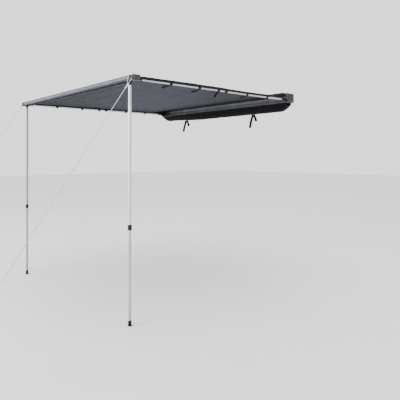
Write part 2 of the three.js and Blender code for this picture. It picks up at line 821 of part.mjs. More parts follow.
function makeArmStud(side) {
  const half = armTipThickness / 2 + earPlay + earThickness + seatGap;
  const head = half + studHeadHeight;
  return turned([
    [0, -head], [studHeadRadius, -head], [studHeadRadius, -half], [studRadius, -half],
    [studRadius, half], [studHeadRadius, half], [studHeadRadius, head], [0, head],
  ]).translate(sides[side] * armSpacing / 2, studLine, armHeightAt(studLine, side));
}

function makeLegPin(side) {
  const half = barDepth / 2 + seatGap;
  const head = half + legPinHeadHeight;
  return turned([
    [0, -head], [legPinHeadRadius, -head], [legPinHeadRadius, -half], [legPinRadius, -half],
    [legPinRadius, half], [legPinHeadRadius, half], [legPinHeadRadius, head], [0, head],
  ], smallSides).rotateX(Math.PI / 2)
    .translate(sides[side] * legSpacing / 2, (barFront + barRear) / 2, legPivotHeight);
}

// Leg pieces, built along +Z from the pivot and turned to hang down

const hangDown = new THREE.Matrix4().makeRotationX(Math.PI);

function makeKnuckle() {
  const shoulderStart = knuckleNeck;
  const shoulderEnd = knuckleNeck + knuckleShoulder;
  const plugRadius = legOuterRadius - legWall - seatGap;
  const body = turned([
    [0, shoulderStart], [knuckleEyeRadius, shoulderStart], [legOuterRadius, shoulderStart + legWall],
    [legOuterRadius, shoulderEnd], [plugRadius, shoulderEnd], [plugRadius, shoulderEnd + knucklePlug],
    [0, shoulderEnd + knucklePlug],
  ]);
  const half = knuckleEyeWidth / 2;
  const neck = alongY(
    rectangle(-knuckleEyeRadius, 0, knuckleEyeRadius, shoulderStart + legWall), -half, half);
  const eye = alongY(circle(knuckleEyeRadius, roundSides), -half, half);
  return cut(
    joined(body, neck, eye),
    alongY(circle(legPinRadius + seatGap, smallSides), -half - cutOverrun, half + cutOverrun),
  );
}

function makeFoot() {
  const bore = legInnerRadius + seatGap;
  const top = legLength - footHeight;
  const floor = legLength - footFloor;
  return turned([
    [bore, top], [footTopRadius, top], [footTopRadius, floor - footFloor], [footRadius, floor],
    [footRadius, legLength], [0, legLength], [0, floor], [bore, floor],
  ]);
}

for (const side of Object.keys(sides)) {
  const group = new THREE.Group();
  group.position.set(sides[side] * legSpacing / 2, legLane[side], legPivotHeight);
  awning.add(group);
  const collarMiddle = legLength - legCollarHeightAboveGround;
  const outerStart = knuckleNeck + knuckleShoulder + seatGap;
  const outerEnd = collarMiddle + tubeInLock;
  const innerStart = outerEnd - legOverlap;
  const innerEnd = legLength - footFloor - seatGap;
  const hung = (geometry) => geometry.applyMatrix4(hangDown);
  add(group, `leg_knuckle_${side}`, hung(makeKnuckle()), materials.blackPlastic);
  add(group, `leg_outer_tube_${side}`,
    hung(tube(legOuterRadius, legOuterRadius - legWall, outerStart, outerEnd)), materials.silver);
  add(group, `leg_collet_${side}`,
    hung(makeCollet(legOuterRadius, legInnerRadius, outerEnd)), materials.greyPlastic);
  add(group, `leg_lock_${side}`,
    hung(makeLock(legCollarRadius, legOuterRadius, legInnerRadius, collarMiddle, legCollarHeight)),
    materials.blackPlastic);
  add(group, `leg_inner_tube_${side}`,
    hung(tube(legInnerRadius, legInnerRadius - legWall, innerStart, innerEnd)), materials.silver);
  add(group, `leg_foot_${side}`, hung(makeFoot()), materials.rubber);
}

// Hem along one side of the canopy, with the ties that loop round the arm and end in a loose tail
function makeHem(side) {
  const way = sides[side];
  const outside = canopyWidth / 2;
  const inside = outside - clothThickness;
  const strip = loft(canopyStations((y, height) => [
    [way * inside, y, height - hemDrop], [way * outside, y, height - hemDrop],
    [way * outside, y, height + clothThickness / 2], [way * inside, y, height + clothThickness / 2],
  ]));
  return joined(strip, ...tiePlaceShares.map((share) => makeTie(side, barFront + share * reach)));
}

function makeTie(side, y) {
  const way = sides[side];
  const along = (armLane[side] - y) / Math.cos(armSlope);
  const tubeRadius = along < armLengths(side).outerEnd ? armOuterRadius : armInnerRadius;
  const inner = tubeRadius + 2 * seatGap;
  const outer = inner + tieThickness;
  const height = armHeightAt(y, side);
  const hemInside = (canopyWidth - armSpacing) / 2 - clothThickness / 2;
  const hemLow = canopyHeight(y) - hemDrop + 2 * tieThickness - height;
  const link = [
    [inner, 0], [outer, -2 * tieThickness], [hemInside, hemLow], [hemInside, hemLow + tieLink],
  ];
  const tail = [
    [-inner * Math.SQRT1_2, -inner * Math.SQRT1_2 - tieThickness / 2],
    [-outer - tieTail, -outer - tieTailDroop],
    [-outer - tieTail, -outer - tieTailDroop - tieThickness],
    [-inner * Math.SQRT1_2, -outer * Math.SQRT1_2 - tieThickness],
  ];
  const web = (points) => alongY(points.map(([x, z]) => [way * x, z]), 0, tieWidth);
  const loop = alongY(circle(outer, tieSides), 0, tieWidth);
  const tie = cut(
    joined(loop, web(link), web(tail)),
    alongY(circle(inner, tieSides), -cutOverrun, tieWidth + cutOverrun),
  );
  return tie.translate(way * armSpacing / 2, y - tieWidth / 2, height);
}

// Guy ropes: a bridle on the bar's end, a runner below it and one taut rope down to a peg

function ropePlaces(side) {
  const way = sides[side];
  const middle = barLength / 2 + endLength / 2;
  const face = barFront - endProud - seatGap;
  const runnerTop = barTop - bridleDrop;
  const runnerOut = barFront - bridleOut;
  const along = new THREE.Vector3(0, -Math.sin(ropeLean), -Math.cos(ropeLean));
  const top = new THREE.Vector3(way * middle, runnerOut, runnerTop);
  const start = top.clone().addScaledVector(along, runnerLength + seatGap);
  const ropeLength = (start.z + standHeight - pegEyeHeight) / Math.cos(ropeLean);
  const end = start.clone().addScaledVector(along, ropeLength);
  return { way, middle, face, along, top, start, end };
}

function makeBridle(side) {
  const { way, middle, face, along, top } = ropePlaces(side);
  const apex = top.clone().addScaledVector(along, -ropeRadius - seatGap);
  const turn = 2 * ropeRadius;
  const strand = (across, drop) => [
    [way * (middle + across), face, barTop - drop],
    [way * (middle + across), face - turn, barTop - drop],
    [way * (middle + across), face - 1.5 * turn, barTop - drop - turn],
  ];
  const points = [
    ...strand(-bridleSpread / 2, bridleTopDrop),
    [way * (middle - 2 * turn), apex.y, apex.z + turn],
    [way * (middle - turn), apex.y, apex.z + bridleBow],
    [way * middle, apex.y, apex.z],
    [way * (middle + turn), apex.y, apex.z + bridleBow],
    [way * (middle + 2 * turn), apex.y, apex.z + turn],
    ...strand(bridleSpread / 2, bridleBottomDrop).reverse(),
  ];
  return roundAlong(points, ropeRadius, bridleSteps, ropeSides);
}

function makeRunner(side) {
  const { along, top } = ropePlaces(side);
  const half = runnerWidth / 2;
  const inset = runnerWidth / 2;
  const hole = (z) => alongY(circle(runnerHoleRadius, smallSides, 0, z), -runnerThickness, runnerThickness);
  const plate = cut(
    alongY(rectangle(-half, 0, half, runnerLength), -runnerThickness / 2, runnerThickness / 2),
    hole(inset), hole(runnerLength - inset),
  );
  const turn = new THREE.Quaternion().setFromUnitVectors(new THREE.Vector3(0, 0, 1), along);
  return plate.applyQuaternion(turn).translate(top.x, top.y, top.z);
}

function makeRope(side) {
  const { start, end } = ropePlaces(side);
  return roundAlong([start.toArray(), end.toArray()], ropeRadius, 1, ropeSides, true);
}

// Steel peg with a bent head, its point on the ground
function makePeg(side) {
  const { along, end } = ropePlaces(side);
  const shaft = new THREE.Vector3(0, Math.sin(pegLean), -Math.cos(pegLean));
  const outward = new THREE.Vector3(0, -Math.cos(pegLean), -Math.sin(pegLean));
  const clearance = pegRadius + seatGap + ropeRadius * Math.abs(along.dot(shaft));
  const eye = end.clone().addScaledVector(outward, clearance);
  const tipLength = (eye.z + standHeight - pegTipGap - pegRadius) / Math.cos(pegLean);
  const tip = eye.clone().addScaledVector(shaft, tipLength);
  const bend = pegHookShares.map(([back, out]) => eye.clone()
    .addScaledVector(shaft, -back * pegHookRadius).addScaledVector(outward, out * pegHookRadius));
  const points = [tip, eye.clone().lerp(tip, 0.5), eye, ...bend].map((p) => p.toArray());
  return roundAlong(points, pegRadius, pegSteps, ropeSides);
}

// The pieces that aren't part of an arm or a leg

const grooveOfRail = -railDepth + grooveSize / 2;
const grooveOfBar = barRear + grooveSize / 2;
add(awning, 'rail', makeRail(), materials.railGrey);
add(awning, 'cover', makeCover(), materials.cover);
add(awning, 'canopy', makeCanopy(), materials.cloth);
add(awning, 'canopy_rear_welt', makeWelt(grooveOfRail, railGrooveHeight, -1, railLength), materials.cloth);
add(awning, 'front_bar', makeFrontBar(), materials.silver);
add(awning, 'canopy_front_welt', makeWelt(grooveOfBar, barGrooveHeight, 1, barLength), materials.cloth);
for (const side of Object.keys(sides)) {
  add(awning, `mount_bracket_${side}`, makeBracket(side), materials.steel);
  boltPlaces(side).forEach((place, i) => {
    add(awning, `bracket_bolt_${side}_${i + 1}`, makeBracketBolt(place), materials.steel);
  });
  add(awning, `rail_cap_${side}`, makeRailCap(side), materials.greyPlastic);
  add(awning, `cover_straps_${side}`, makeCoverStraps(side), materials.webbing);
  add(awning, `bar_end_${side}`, makeBarEnd(side), materials.greyPlastic);
  add(awning, `arm_stud_${side}`, makeArmStud(side), materials.steel);
  add(awning, `leg_pivot_pin_${side}`, makeLegPin(side), materials.steel);
  add(awning, `canopy_hem_${side}`, makeHem(side), materials.webbing);
  add(awning, `guy_bridle_${side}`, makeBridle(side), materials.rope);
  add(awning, `guy_runner_${side}`, makeRunner(side), materials.palePlastic);
  add(awning, `guy_rope_${side}`, makeRope(side), materials.rope);
  add(awning, `guy_peg_${side}`, makePeg(side), materials.steel);
}

export default awning;
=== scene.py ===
"""Vehicle side awning, pulled out and standing on its two legs.

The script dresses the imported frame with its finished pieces. Everything is in
metres and in the frame's own axes: X runs along the rail, +Y points to the
side that it is mounted on, -Y points outward and +Z is up.
"""

import logging
import math
import random
from collections.abc import Callable, Sequence
from dataclasses import dataclass
from enum import Enum

import bpy
from mathutils import Matrix, Vector


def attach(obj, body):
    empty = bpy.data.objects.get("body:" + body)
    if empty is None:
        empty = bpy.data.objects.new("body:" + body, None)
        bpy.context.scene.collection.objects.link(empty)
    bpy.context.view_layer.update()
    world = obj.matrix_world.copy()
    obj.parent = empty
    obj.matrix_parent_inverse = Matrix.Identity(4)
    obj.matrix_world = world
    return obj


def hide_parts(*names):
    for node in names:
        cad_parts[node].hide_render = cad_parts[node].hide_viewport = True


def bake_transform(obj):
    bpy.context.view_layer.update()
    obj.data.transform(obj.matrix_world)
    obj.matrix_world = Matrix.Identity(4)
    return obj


log = logging.getLogger("awning")
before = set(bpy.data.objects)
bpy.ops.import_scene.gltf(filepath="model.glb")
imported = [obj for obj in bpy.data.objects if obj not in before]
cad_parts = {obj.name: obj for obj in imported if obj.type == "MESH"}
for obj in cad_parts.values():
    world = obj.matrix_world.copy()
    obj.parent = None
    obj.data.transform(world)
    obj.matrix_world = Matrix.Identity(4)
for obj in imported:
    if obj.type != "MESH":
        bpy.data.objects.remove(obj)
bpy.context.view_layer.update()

Place = tuple[float, float, float]
Profile = Sequence[tuple[float, float]]
Piece = bpy.types.Object
Material = bpy.types.Material
Tree = bpy.types.NodeTree

# lays a piece that was drawn along Z so that it runs along -Y
LAID = Matrix.Rotation(math.pi / 2, 4, "X")


class Side(Enum):
    """The two ends of the awning, with the sign of their X."""

    NEAR = 1
    FAR = -1

    @property
    def word(self) -> str:
        """The side as it is written in the names of the pieces."""
        return self.name.lower()


class Grain(Enum):
    """The axis that a section was pressed or drawn along."""

    X = 0
    Y = 1
    Z = 2


@dataclass(frozen=True)
class SetOut:
    """Sizes that several sub-assemblies share, as the frame has them."""

    rail_length: float = 2.356
    rail_depth: float = 0.075
    rail_under: float = -0.028
    rail_top: float = 0.070
    reach: float = 2.270
    ground: float = -2.080
    slope: float = math.radians(0.96)
    seat: float = 0.0003
    arm_spacing: float = 2.300
    bar_length: float = 2.266
    leg_spacing: float = 2.150
    canopy_width: float = 2.344
    hinge_height: float = 0.008
    bar_rear: float = -2.1989
    bar_top: float = -0.003
    bar_height: float = 0.042
    groove: float = 0.011
    stud_line: float = -2.1779
    collar_from_tip: float = 1.051
    leg_pivot: float = -0.0232

    def arm_lane(self, side: Side) -> float:
        """How far behind the rail's back an arm runs."""
        return -0.027 if side is Side.NEAR else -0.055

    def leg_lane(self, side: Side) -> float:
        """Where a leg stands, front to rear."""
        return -2.2187 if side is Side.NEAR else -2.2502

    def arm_height(self, y: float, side: Side) -> float:
        """The height of an arm's axis above a place."""
        return self.hinge_height - (self.arm_lane(side) - y) * math.tan(self.slope)

    def arm_length(self, side: Side) -> float:
        """From the hinge to the stud."""
        return (self.arm_lane(side) - self.stud_line) / math.cos(self.slope)


SET_OUT = SetOut()


def eased(share: float) -> float:
    """A share from zero to one, slowed down at both ends."""
    return share * share * (3 - 2 * share)


# Colour and nodes


def linear(hex_colour: str) -> tuple[float, float, float, float]:
    """Turns an sRGB hex colour into a linear one.

    Args:
        hex_colour: A hash and six hex digits.

    Returns:
        Red, green, blue and an alpha of one.
    """
    shares = [int(hex_colour[i : i + 2], 16) / 255 for i in (1, 3, 5)]
    red, green, blue = (c / 12.92 if c <= 0.04045 else ((c + 0.055) / 1.055) ** 2.4 for c in shares)
    return red, green, blue, 1.0


def add(tree: Tree, kind: str, *values: object, **named: object) -> bpy.types.Node:
    """Adds a node with its settings and links.

    Args:
        tree: The node tree that gets it.
        kind: The node's type, without its prefix.
        *values: What its first inputs in use get: a node, a socket or a value.
        **named: Names in lower case are the node's own settings, and the others
            its inputs, with an underscore for a space.

    Returns:
        The new node.
    """
    made = tree.nodes.new("ShaderNode" + kind)
    for name, value in named.items():
        if name[0].islower():
            setattr(made, name, value)
    inputs = {i.name: i for i in reversed(made.inputs) if i.enabled}
    wanted = list(zip([i for i in made.inputs if i.enabled], values))
    wanted += [(inputs[n.replace("_", " ")], v) for n, v in named.items() if n[0].isupper()]
    for socket, value in wanted:
        if isinstance(value, bpy.types.Node):
            value = next(o for o in value.outputs if o.enabled)
        if isinstance(value, bpy.types.NodeSocket):
            tree.links.new(value, socket)
        elif isinstance(value, str):
            socket.default_value = linear(value)
        else:
            socket.default_value = value
    return made


def open_material(name: str, layout: str = "Object") -> tuple:
    """Starts a material with no nodes but its coordinates.

    Args:
        name: The finish's name.
        layout: The coordinates that its patterns follow.

    Returns:
        The material, its node tree and its coordinates.
    """
    material = bpy.data.materials.new(name)
    material.use_nodes = True
    tree = material.node_tree
    tree.nodes.clear()
    return material, tree, add(tree, "TexCoord").outputs[layout]


def close_material(tree: Tree, **shader: object) -> None:
    """Ends a material with its shader, from the values and nodes for the shader's inputs."""
    add(tree, "OutputMaterial", add(tree, "BsdfPrincipled", **shader))


def wave_scale(period: float) -> float:
    """The Wave texture's scale for bands that far apart, in metres."""
    return math.pi / 10 / period


# Finishes


@dataclass(frozen=True)
class Band:
    """A part of a section darkened with painted shade, between two heights and behind a depth."""

    light: str
    dark: str
    low: float = -3.0
    high: float = 3.0
    behind: float = -9.0


@dataclass(frozen=True)
class AnodisedAluminium:
    """Pressed 6063 aluminium, satin anodised.

    The press leaves faint lines along the section, and the anodised skin is
    slightly milky, so highlights are soft and drawn out across the grain.
    """

    name: str
    light: str
    dark: str
    roughness: float
    grain: Grain
    bands: tuple[Band, ...] = ()
    metallic: float = 0.85

    def make(self) -> Material:
        """Builds the material."""
        material, tree, spot = open_material(self.name)
        # die lines are about 0.3 mm apart, drawn 2.5 mm apart so that they show
        across = [1 / 0.0025] * 3
        across[self.grain.value] = 1 / 0.9
        run = add(tree, "Mapping", spot, Scale=across)
        lines = add(tree, "TexNoise", run, Scale=1.0, Detail=3.0, Roughness=0.6)
        # handling and the bath leave clouds some 150 mm wide
        clouds = add(tree, "TexNoise", spot, Scale=6.5, Detail=4.0)
        share = add(tree, "Math", lines, 0.7, clouds, operation="MULTIPLY_ADD")
        share = add(tree, "MapRange", share, From_Min=0.55, From_Max=1.15)
        tone = add(tree, "Mix", share, self.dark, self.light, data_type="RGBA")
        parts = add(tree, "SeparateXYZ", spot)
        # painted shade: each band mixes in its own darker tone between its heights and behind its
        # depth
        for band in self.bands:
            middle, half = (band.low + band.high) / 2, (band.high - band.low) / 2
            level = add(tree, "Math", parts.outputs["Z"], middle, half, operation="COMPARE")
            back = add(tree, "Math", parts.outputs["Y"], band.behind, operation="GREATER_THAN")
            inside = add(tree, "Math", level, back, operation="MULTIPLY")
            other = add(tree, "Mix", share, band.dark, band.light, data_type="RGBA")
            tone = add(tree, "Mix", inside, tone, other, data_type="RGBA")
        matt = add(tree, "MapRange", lines, 0.3, 0.7, self.roughness - 0.06, self.roughness + 0.08)
        relief = add(tree, "Bump", Strength=0.25, Distance=0.00008, Height=lines)
        close_material(tree, Base_Color=tone, Metallic=self.metallic, Roughness=matt, Normal=relief)
        return material


@dataclass(frozen=True)
class ZincPlatedSteel:
    """Bright zinc on cold rolled steel.

    The plating is bluish and a little blotchy, with dull patches where it was
    handled, so it shines unevenly.
    """

    name: str = "zinc_plated_steel"
    light: str = "#b4b9be"
    dark: str = "#888d92"
    roughness: float = 0.36

    def make(self) -> Material:
        """Builds the material."""
        material, tree, spot = open_material(self.name)
        # zinc grains, about 2 mm across
        grains = add(tree, "TexVoronoi", spot, Scale=1 / 0.002)
        patches = add(tree, "TexNoise", spot, Scale=45.0, Detail=5.0)
        share = add(tree, "Mix", 0.35, patches, grains, data_type="FLOAT")
        tone = add(tree, "Mix", share, self.dark, self.light, data_type="RGBA")
        matt = add(
            tree, "MapRange", patches, 0.3, 0.7, self.roughness - 0.08, self.roughness + 0.14
        )
        relief = add(tree, "Bump", Strength=0.2, Distance=0.00005, Height=grains)
        close_material(tree, Base_Color=tone, Metallic=0.92, Roughness=matt, Normal=relief)
        return material


@dataclass(frozen=True)
class MouldedNylon:
    """Injection moulded glass filled nylon with a spark eroded texture.

    The mould gives a fine pebble that breaks the highlight, the flow leaves
    paler swirls, and handling leaves thin pale scuffs.
    """

    name: str
    colour: str
    pale: str
    roughness: float = 0.58
    shine: float = 0.3
    pebble: float = 0.0011

    def make(self) -> Material:
        """Builds the material."""
        material, tree, spot = open_material(self.name)
        # the pebble is about 0.2 mm, drawn at about 1 mm so that it shows
        pebble = add(tree, "TexNoise", spot, Scale=1 / self.pebble, Detail=2.0)
        swirl = add(tree, "TexNoise", spot, Scale=60.0, Detail=5.0, Distortion=0.4)
        run = add(tree, "Mapping", spot, Rotation=(0.4, 0.2, 0.7), Scale=(900.0, 40.0, 120.0))
        scratches = add(tree, "TexNoise", run, Scale=1.0, Detail=1.0)
        scuffed = add(tree, "MapRange", scratches, 0.66, 0.74, To_Max=0.5)
        share = add(tree, "MapRange", swirl, 0.34, 0.7, To_Max=0.7)
        share = add(tree, "Math", share, scuffed, operation="ADD", use_clamp=True)
        tone = add(tree, "Mix", share, self.colour, self.pale, data_type="RGBA")
        matt = add(
            tree, "MapRange", swirl, To_Min=self.roughness - 0.1, To_Max=self.roughness + 0.12
        )
        relief = add(tree, "Bump", Strength=0.3, Distance=0.0001, Height=pebble)
        close_material(
            tree, Base_Color=tone, Roughness=matt, IOR=1.53, Specular_IOR_Level=self.shine,
            Normal=relief,
        )
        return material


@dataclass(frozen=True)
class FootRubber:
    """Compression moulded EPDM rubber.

    It is matt and nearly black, and dust clings to it near the ground.
    """

    name: str = "foot_rubber"
    colour: str = "#0f1013"
    dust: str = "#2e2c29"
    ground: float = SET_OUT.ground

    def make(self) -> Material:
        """Builds the material."""
        material, tree, spot = open_material(self.name)
        skin = add(tree, "TexNoise", spot, Scale=650.0, Detail=3.0)
        height = add(tree, "SeparateXYZ", spot).outputs["Z"]
        low = add(tree, "MapRange", height, self.ground + 0.03, self.ground, 0.0, 0.75)
        dusty = add(tree, "Math", low, skin, operation="MULTIPLY")
        tone = add(tree, "Mix", dusty, self.colour, self.dust, data_type="RGBA")
        relief = add(tree, "Bump", Strength=0.35, Distance=0.00015, Height=skin)
        close_material(
            tree, Base_Color=tone, Roughness=0.85, IOR=1.52, Specular_IOR_Level=0.2, Normal=relief
        )
        return material


@dataclass(frozen=True)
class CoatedCloth:
    """Plain woven 280 g polyester with a polyurethane coat.

    The weave is close and flat with uneven, slubby yarns, and the matt coat
    keeps the underside dark even at a grazing angle.
    """

    name: str = "coated_cloth"
    light: str = "#37383e"
    dark: str = "#26282c"
    # the colour of the painted sheen across the cloth
    pale: str = "#4a4e5c"
    yarn: float = 0.0026
    roughness: float = 0.88

    def make(self) -> Material:
        """Builds the material."""
        material, tree, flat = open_material(self.name, "UV")
        waves, slubs = [], []
        # yarns are 0.45 mm apart, drawn 2.6 mm apart so that they show
        for way, stretch in (("X", (1 / 0.003, 1 / 0.16, 1)), ("Y", (1 / 0.16, 1 / 0.003, 1))):
            waves.append(
                add(
                    tree, "TexWave", flat, bands_direction=way, Scale=wave_scale(self.yarn),
                    Distortion=0.25, Detail=1.0,
                )
            )
            run = add(tree, "Mapping", flat, Scale=stretch)
            slubs.append(add(tree, "TexNoise", run, Scale=1.0, Detail=2.0))
        weave = add(tree, "Math", *waves, operation="MULTIPLY")
        slub = add(tree, "Math", *slubs, operation="ADD")
        clouds = add(tree, "TexNoise", flat, Scale=2.6, Detail=5.0)
        share = add(tree, "Math", slub, 0.55, clouds, operation="MULTIPLY_ADD")
        share = add(tree, "Math", weave, 0.25, share, operation="MULTIPLY_ADD")
        share = add(tree, "MapRange", share, 0.8, 1.5)
        tone = add(tree, "Mix", share, self.dark, self.light, data_type="RGBA")
        # painted sheen: a soft paler sweep from corner to corner, a highlight painted into the
        # cloth's colour
        painted_sheen = add(tree, "VectorMath", flat, (0.6, 0.8, 0.0), operation="DOT_PRODUCT")
        painted_sheen = add(tree, "Math", painted_sheen.outputs["Value"], 1.492, operation="SUBTRACT")
        painted_sheen = add(tree, "Math", painted_sheen, operation="ABSOLUTE")
        painted_sheen = add(tree, "MapRange", painted_sheen, 0.85, 0.05, 0.0, 0.26, interpolation_type="SMOOTHSTEP")
        tone = add(tree, "Mix", painted_sheen, tone, self.pale, data_type="RGBA")
        relief = add(tree, "Bump", Strength=0.35, Distance=0.0004, Height=weave)
        close_material(
            tree, Base_Color=tone, Roughness=self.roughness, IOR=1.48, Specular_IOR_Level=0.18,
            Normal=relief,
        )
        return material


@dataclass(frozen=True)
class CoverSheeting:
    """Calendered PVC on a polyester scrim, welded and sewn.

    It is black with a low gloss, the scrim prints through as a faint grid,
    and folding leaves shallow creases.
    """

    name: str = "cover_sheeting"
    colour: str = "#08080a"
    crease: str = "#131316"
    scrim: float = 0.004
    roughness: float = 0.6

    def make(self) -> Material:
        """Builds the material."""
        material, tree, flat = open_material(self.name, "UV")
        # the scrim is 1 mm apart, drawn 4 mm apart so that it shows
        grid = [
            add(tree, "TexWave", flat, bands_direction=way, Scale=wave_scale(self.scrim))
            for way in ("X", "Y")
        ]
        scrim = add(tree, "Math", *grid, operation="MAXIMUM")
        run = add(tree, "Mapping", flat, Scale=(4.0, 26.0, 1.0))
        folds = add(tree, "TexNoise", run, Scale=1.0, Detail=6.0, Distortion=0.6)
        fine = add(tree, "TexNoise", flat, Scale=420.0, Detail=3.0)
        share = add(tree, "MapRange", folds, 0.5, 0.8, To_Max=0.7)
        tone = add(tree, "Mix", share, self.colour, self.crease, data_type="RGBA")
        height = add(tree, "Math", scrim, 0.4, fine, operation="MULTIPLY_ADD")
        relief = add(tree, "Bump", Strength=0.3, Distance=0.0003, Height=height)
        relief = add(tree, "Bump", Strength=0.5, Distance=0.003, Height=folds, Normal=relief)
        matt = add(
            tree, "MapRange", folds, To_Min=self.roughness - 0.08, To_Max=self.roughness + 0.16
        )
        close_material(
            tree, Base_Color=tone, Roughness=matt, IOR=1.53, Specular_IOR_Level=0.1, Normal=relief
        )
        return material


@dataclass(frozen=True)
class WovenWebbing:
    """Woven polypropylene webbing with sewn edges.

    The yarns run in a herringbone along the strap, and a row of stitches
    follows each edge.
    """

    name: str
    width: float
    colour: str = "#0b0c0e"
    yarn: str = "#1f2024"
    thread: str = "#35363c"
    rib: float = 0.0032
    stitch: float = 0.005

    def make(self) -> Material:
        """Builds the material."""
        material, tree, flat = open_material(self.name, "UV")
        run, over = add(tree, "SeparateXYZ", flat).outputs[:2]
        middle = add(tree, "Math", over, self.width / 2, operation="SUBTRACT")
        off = add(tree, "Math", middle, operation="ABSOLUTE")
        # the two halves of the herringbone lean to the strap's middle
        lean = add(tree, "Math", run, off, operation="ADD")
        along = add(tree, "CombineXYZ", lean)
        rib = add(tree, "TexWave", along, Scale=wave_scale(self.rib))
        fuzz = add(tree, "TexNoise", flat, Scale=900.0, Detail=2.0)
        share = add(tree, "Math", rib, fuzz, operation="MULTIPLY")
        tone = add(tree, "Mix", share, self.colour, self.yarn, data_type="RGBA")
        # stitches 5 mm long in a row 2.5 mm in from each edge
        row = add(tree, "Math", off, self.width / 2 - 0.0025, 0.0006, operation="COMPARE")
        beat = add(tree, "Math", run, 1 / self.stitch, operation="MULTIPLY")
        beat = add(tree, "Math", beat, operation="FRACT")
        beat = add(tree, "Math", beat, 0.68, operation="LESS_THAN")
        sewn = add(tree, "Math", row, beat, operation="MULTIPLY")
        tone = add(tree, "Mix", sewn, tone, self.thread, data_type="RGBA")
        height = add(tree, "Math", share, sewn, operation="ADD")
        relief = add(tree, "Bump", Strength=0.5, Distance=0.0005, Height=height)
        close_material(
            tree, Base_Color=tone, Roughness=0.85, IOR=1.49, Specular_IOR_Level=0.15, Normal=relief
        )
        return material


@dataclass(frozen=True)
class BraidedPolyester:
    """Sixteen strand braided polyester cord.

    The strands cross in small diamonds round the cord, pale with slightly
    greyer strands between.
    """

    name: str = "braided_polyester"
    light: str = "#e3e6ea"
    dark: str = "#b4b8be"
    strand: float = 0.0024

    def make(self) -> Material:
        """Builds the material."""
        material, tree, flat = open_material(self.name, "UV")
        strands = []
        for lean in (math.radians(38), math.radians(-38)):
            run = add(tree, "Mapping", flat, Rotation=(0.0, 0.0, lean))
            strands.append(
                add(tree, "TexWave", run, bands_direction="Y", Scale=wave_scale(self.strand))
            )
        braid = add(tree, "Math", *strands, operation="MULTIPLY")
        tone = add(tree, "Mix", braid, self.dark, self.light, data_type="RGBA")
        relief = add(tree, "Bump", Strength=0.6, Distance=0.0006, Height=braid)
        close_material(
            tree, Base_Color=tone, Roughness=0.78, IOR=1.5, Sheen_Weight=0.2, Normal=relief
        )
        return material


@dataclass(frozen=True)
class StudioPaper:
    """Matt white background paper, with a very faint mottle."""

    name: str = "studio_paper"
    light: str = "#f7f7f7"
    dark: str = "#eff0f1"

    def make(self) -> Material:
        """Builds the material."""
        material, tree, spot = open_material(self.name)
        mottle = add(tree, "TexNoise", spot, Scale=1.5, Detail=2.0)
        tone = add(tree, "Mix", mottle, self.dark, self.light, data_type="RGBA")
        close_material(tree, Base_Color=tone, Roughness=0.95)
        return material


class Finishes:
    """Every finish of the awning, each built once."""

    def __init__(self) -> None:
        """Builds the materials."""
        # painted shade: the welt's groove and a shallow score line are darkened in the colour, as
        # they stay in shade
        rail_painted_shade_bands = (
            Band("#37383c", "#292a2d", low=SET_OUT.rail_top - 0.014),
            Band("#707176", "#595a5f", low=0.006, high=0.026),
        )
        # painted shade: the upper step, the foot and the inside that the legs fold into are
        # darkened in the colour
        bar_painted_shade_bands = (
            Band("#5c6168", "#494e55", low=SET_OUT.bar_top - 0.0145),
            Band("#4c4f55", "#3c3f44", high=SET_OUT.bar_top - 0.0245),
            Band(
                "#6e7177", "#5a5d63", high=SET_OUT.bar_top - 0.0008, behind=0.0008 - SET_OUT.reach
            ),
        )
        self.rail = AnodisedAluminium(
            "rail_anodised_grey", "#85868b", "#68696e", 0.55, Grain.X, rail_painted_shade_bands
        ).make()
        self.bar = AnodisedAluminium(
            "bar_anodised_silver", "#d2d8de", "#b4bac1", 0.42, Grain.X, bar_painted_shade_bands
        ).make()
        self.arm_tube = AnodisedAluminium(
            "arm_anodised_silver", "#cdd0d4", "#b0b3b8", 0.42, Grain.Y
        ).make()
        # painted light and shade: the near leg's tubes get a lighter copy of the silver and the far
        # leg's a darker one
        self.leg_tube = {
            Side.NEAR: AnodisedAluminium(
                "near_leg_anodised_silver", "#dadfe3", "#c3c9ce", 0.40, Grain.Z
            ).make(),
            Side.FAR: AnodisedAluminium(
                "far_leg_anodised_silver", "#a4a5a8", "#88898c", 0.42, Grain.Z
            ).make(),
        }
        # painted shade: the near leg's sliding tube is darker than its outer tube
        self.leg_slide = {
            Side.NEAR: AnodisedAluminium(
                "near_leg_slide_silver", "#bcc1c7", "#9da2a8", 0.42, Grain.Z
            ).make(),
            Side.FAR: self.leg_tube[Side.FAR],
        }
        self.steel = ZincPlatedSteel().make()
        self.black = MouldedNylon("black_nylon", "#0c0d10", "#1f2126").make()
        self.grey = MouldedNylon("grey_nylon", "#2d2f33", "#404247").make()
        self.pale = MouldedNylon("pale_nylon", "#dcdee2", "#f3f4f6", shine=0.5).make()
        self.rubber = FootRubber().make()
        self.cloth = CoatedCloth().make()
        self.sheeting = CoverSheeting().make()
        self.hem_tape = WovenWebbing("hem_webbing", 0.022, "#131417", "#2b2c31").make()
        self.tie_tape = WovenWebbing("tie_webbing", 0.026).make()
        self.strap = WovenWebbing("strap_webbing", 0.030).make()
        self.rope = BraidedPolyester().make()


# Modelling


def deselect() -> None:
    """Leaves edit mode and deselects everything, as an operator acts on all that is selected."""
    if bpy.context.mode != "OBJECT":
        bpy.ops.object.mode_set(mode="OBJECT")
    bpy.ops.object.select_all(action="DESELECT")


def choose(piece: Piece) -> Piece:
    """Selects one piece alone and makes it active."""
    deselect()
    piece.select_set(True)
    bpy.context.view_layer.objects.active = piece
    return piece


def edit(piece: Piece) -> None:
    """Opens a piece in edit mode with all of it selected."""
    choose(piece)
    bpy.ops.object.mode_set(mode="EDIT")
    bpy.ops.mesh.select_all(action="SELECT")


def apply_modifier(piece: Piece, kind: str, settings: dict) -> Piece:
    """Adds a modifier and applies it at once.

    Args:
        piece: The piece that gets it.
        kind: The modifier's type.
        settings: Values for its properties.

    Returns:
        The same piece.
    """
    choose(piece)
    made = piece.modifiers.new(kind.title(), kind)
    for name, value in settings.items():
        setattr(made, name, value)
    bpy.ops.object.modifier_apply(modifier=made.name)
    return piece


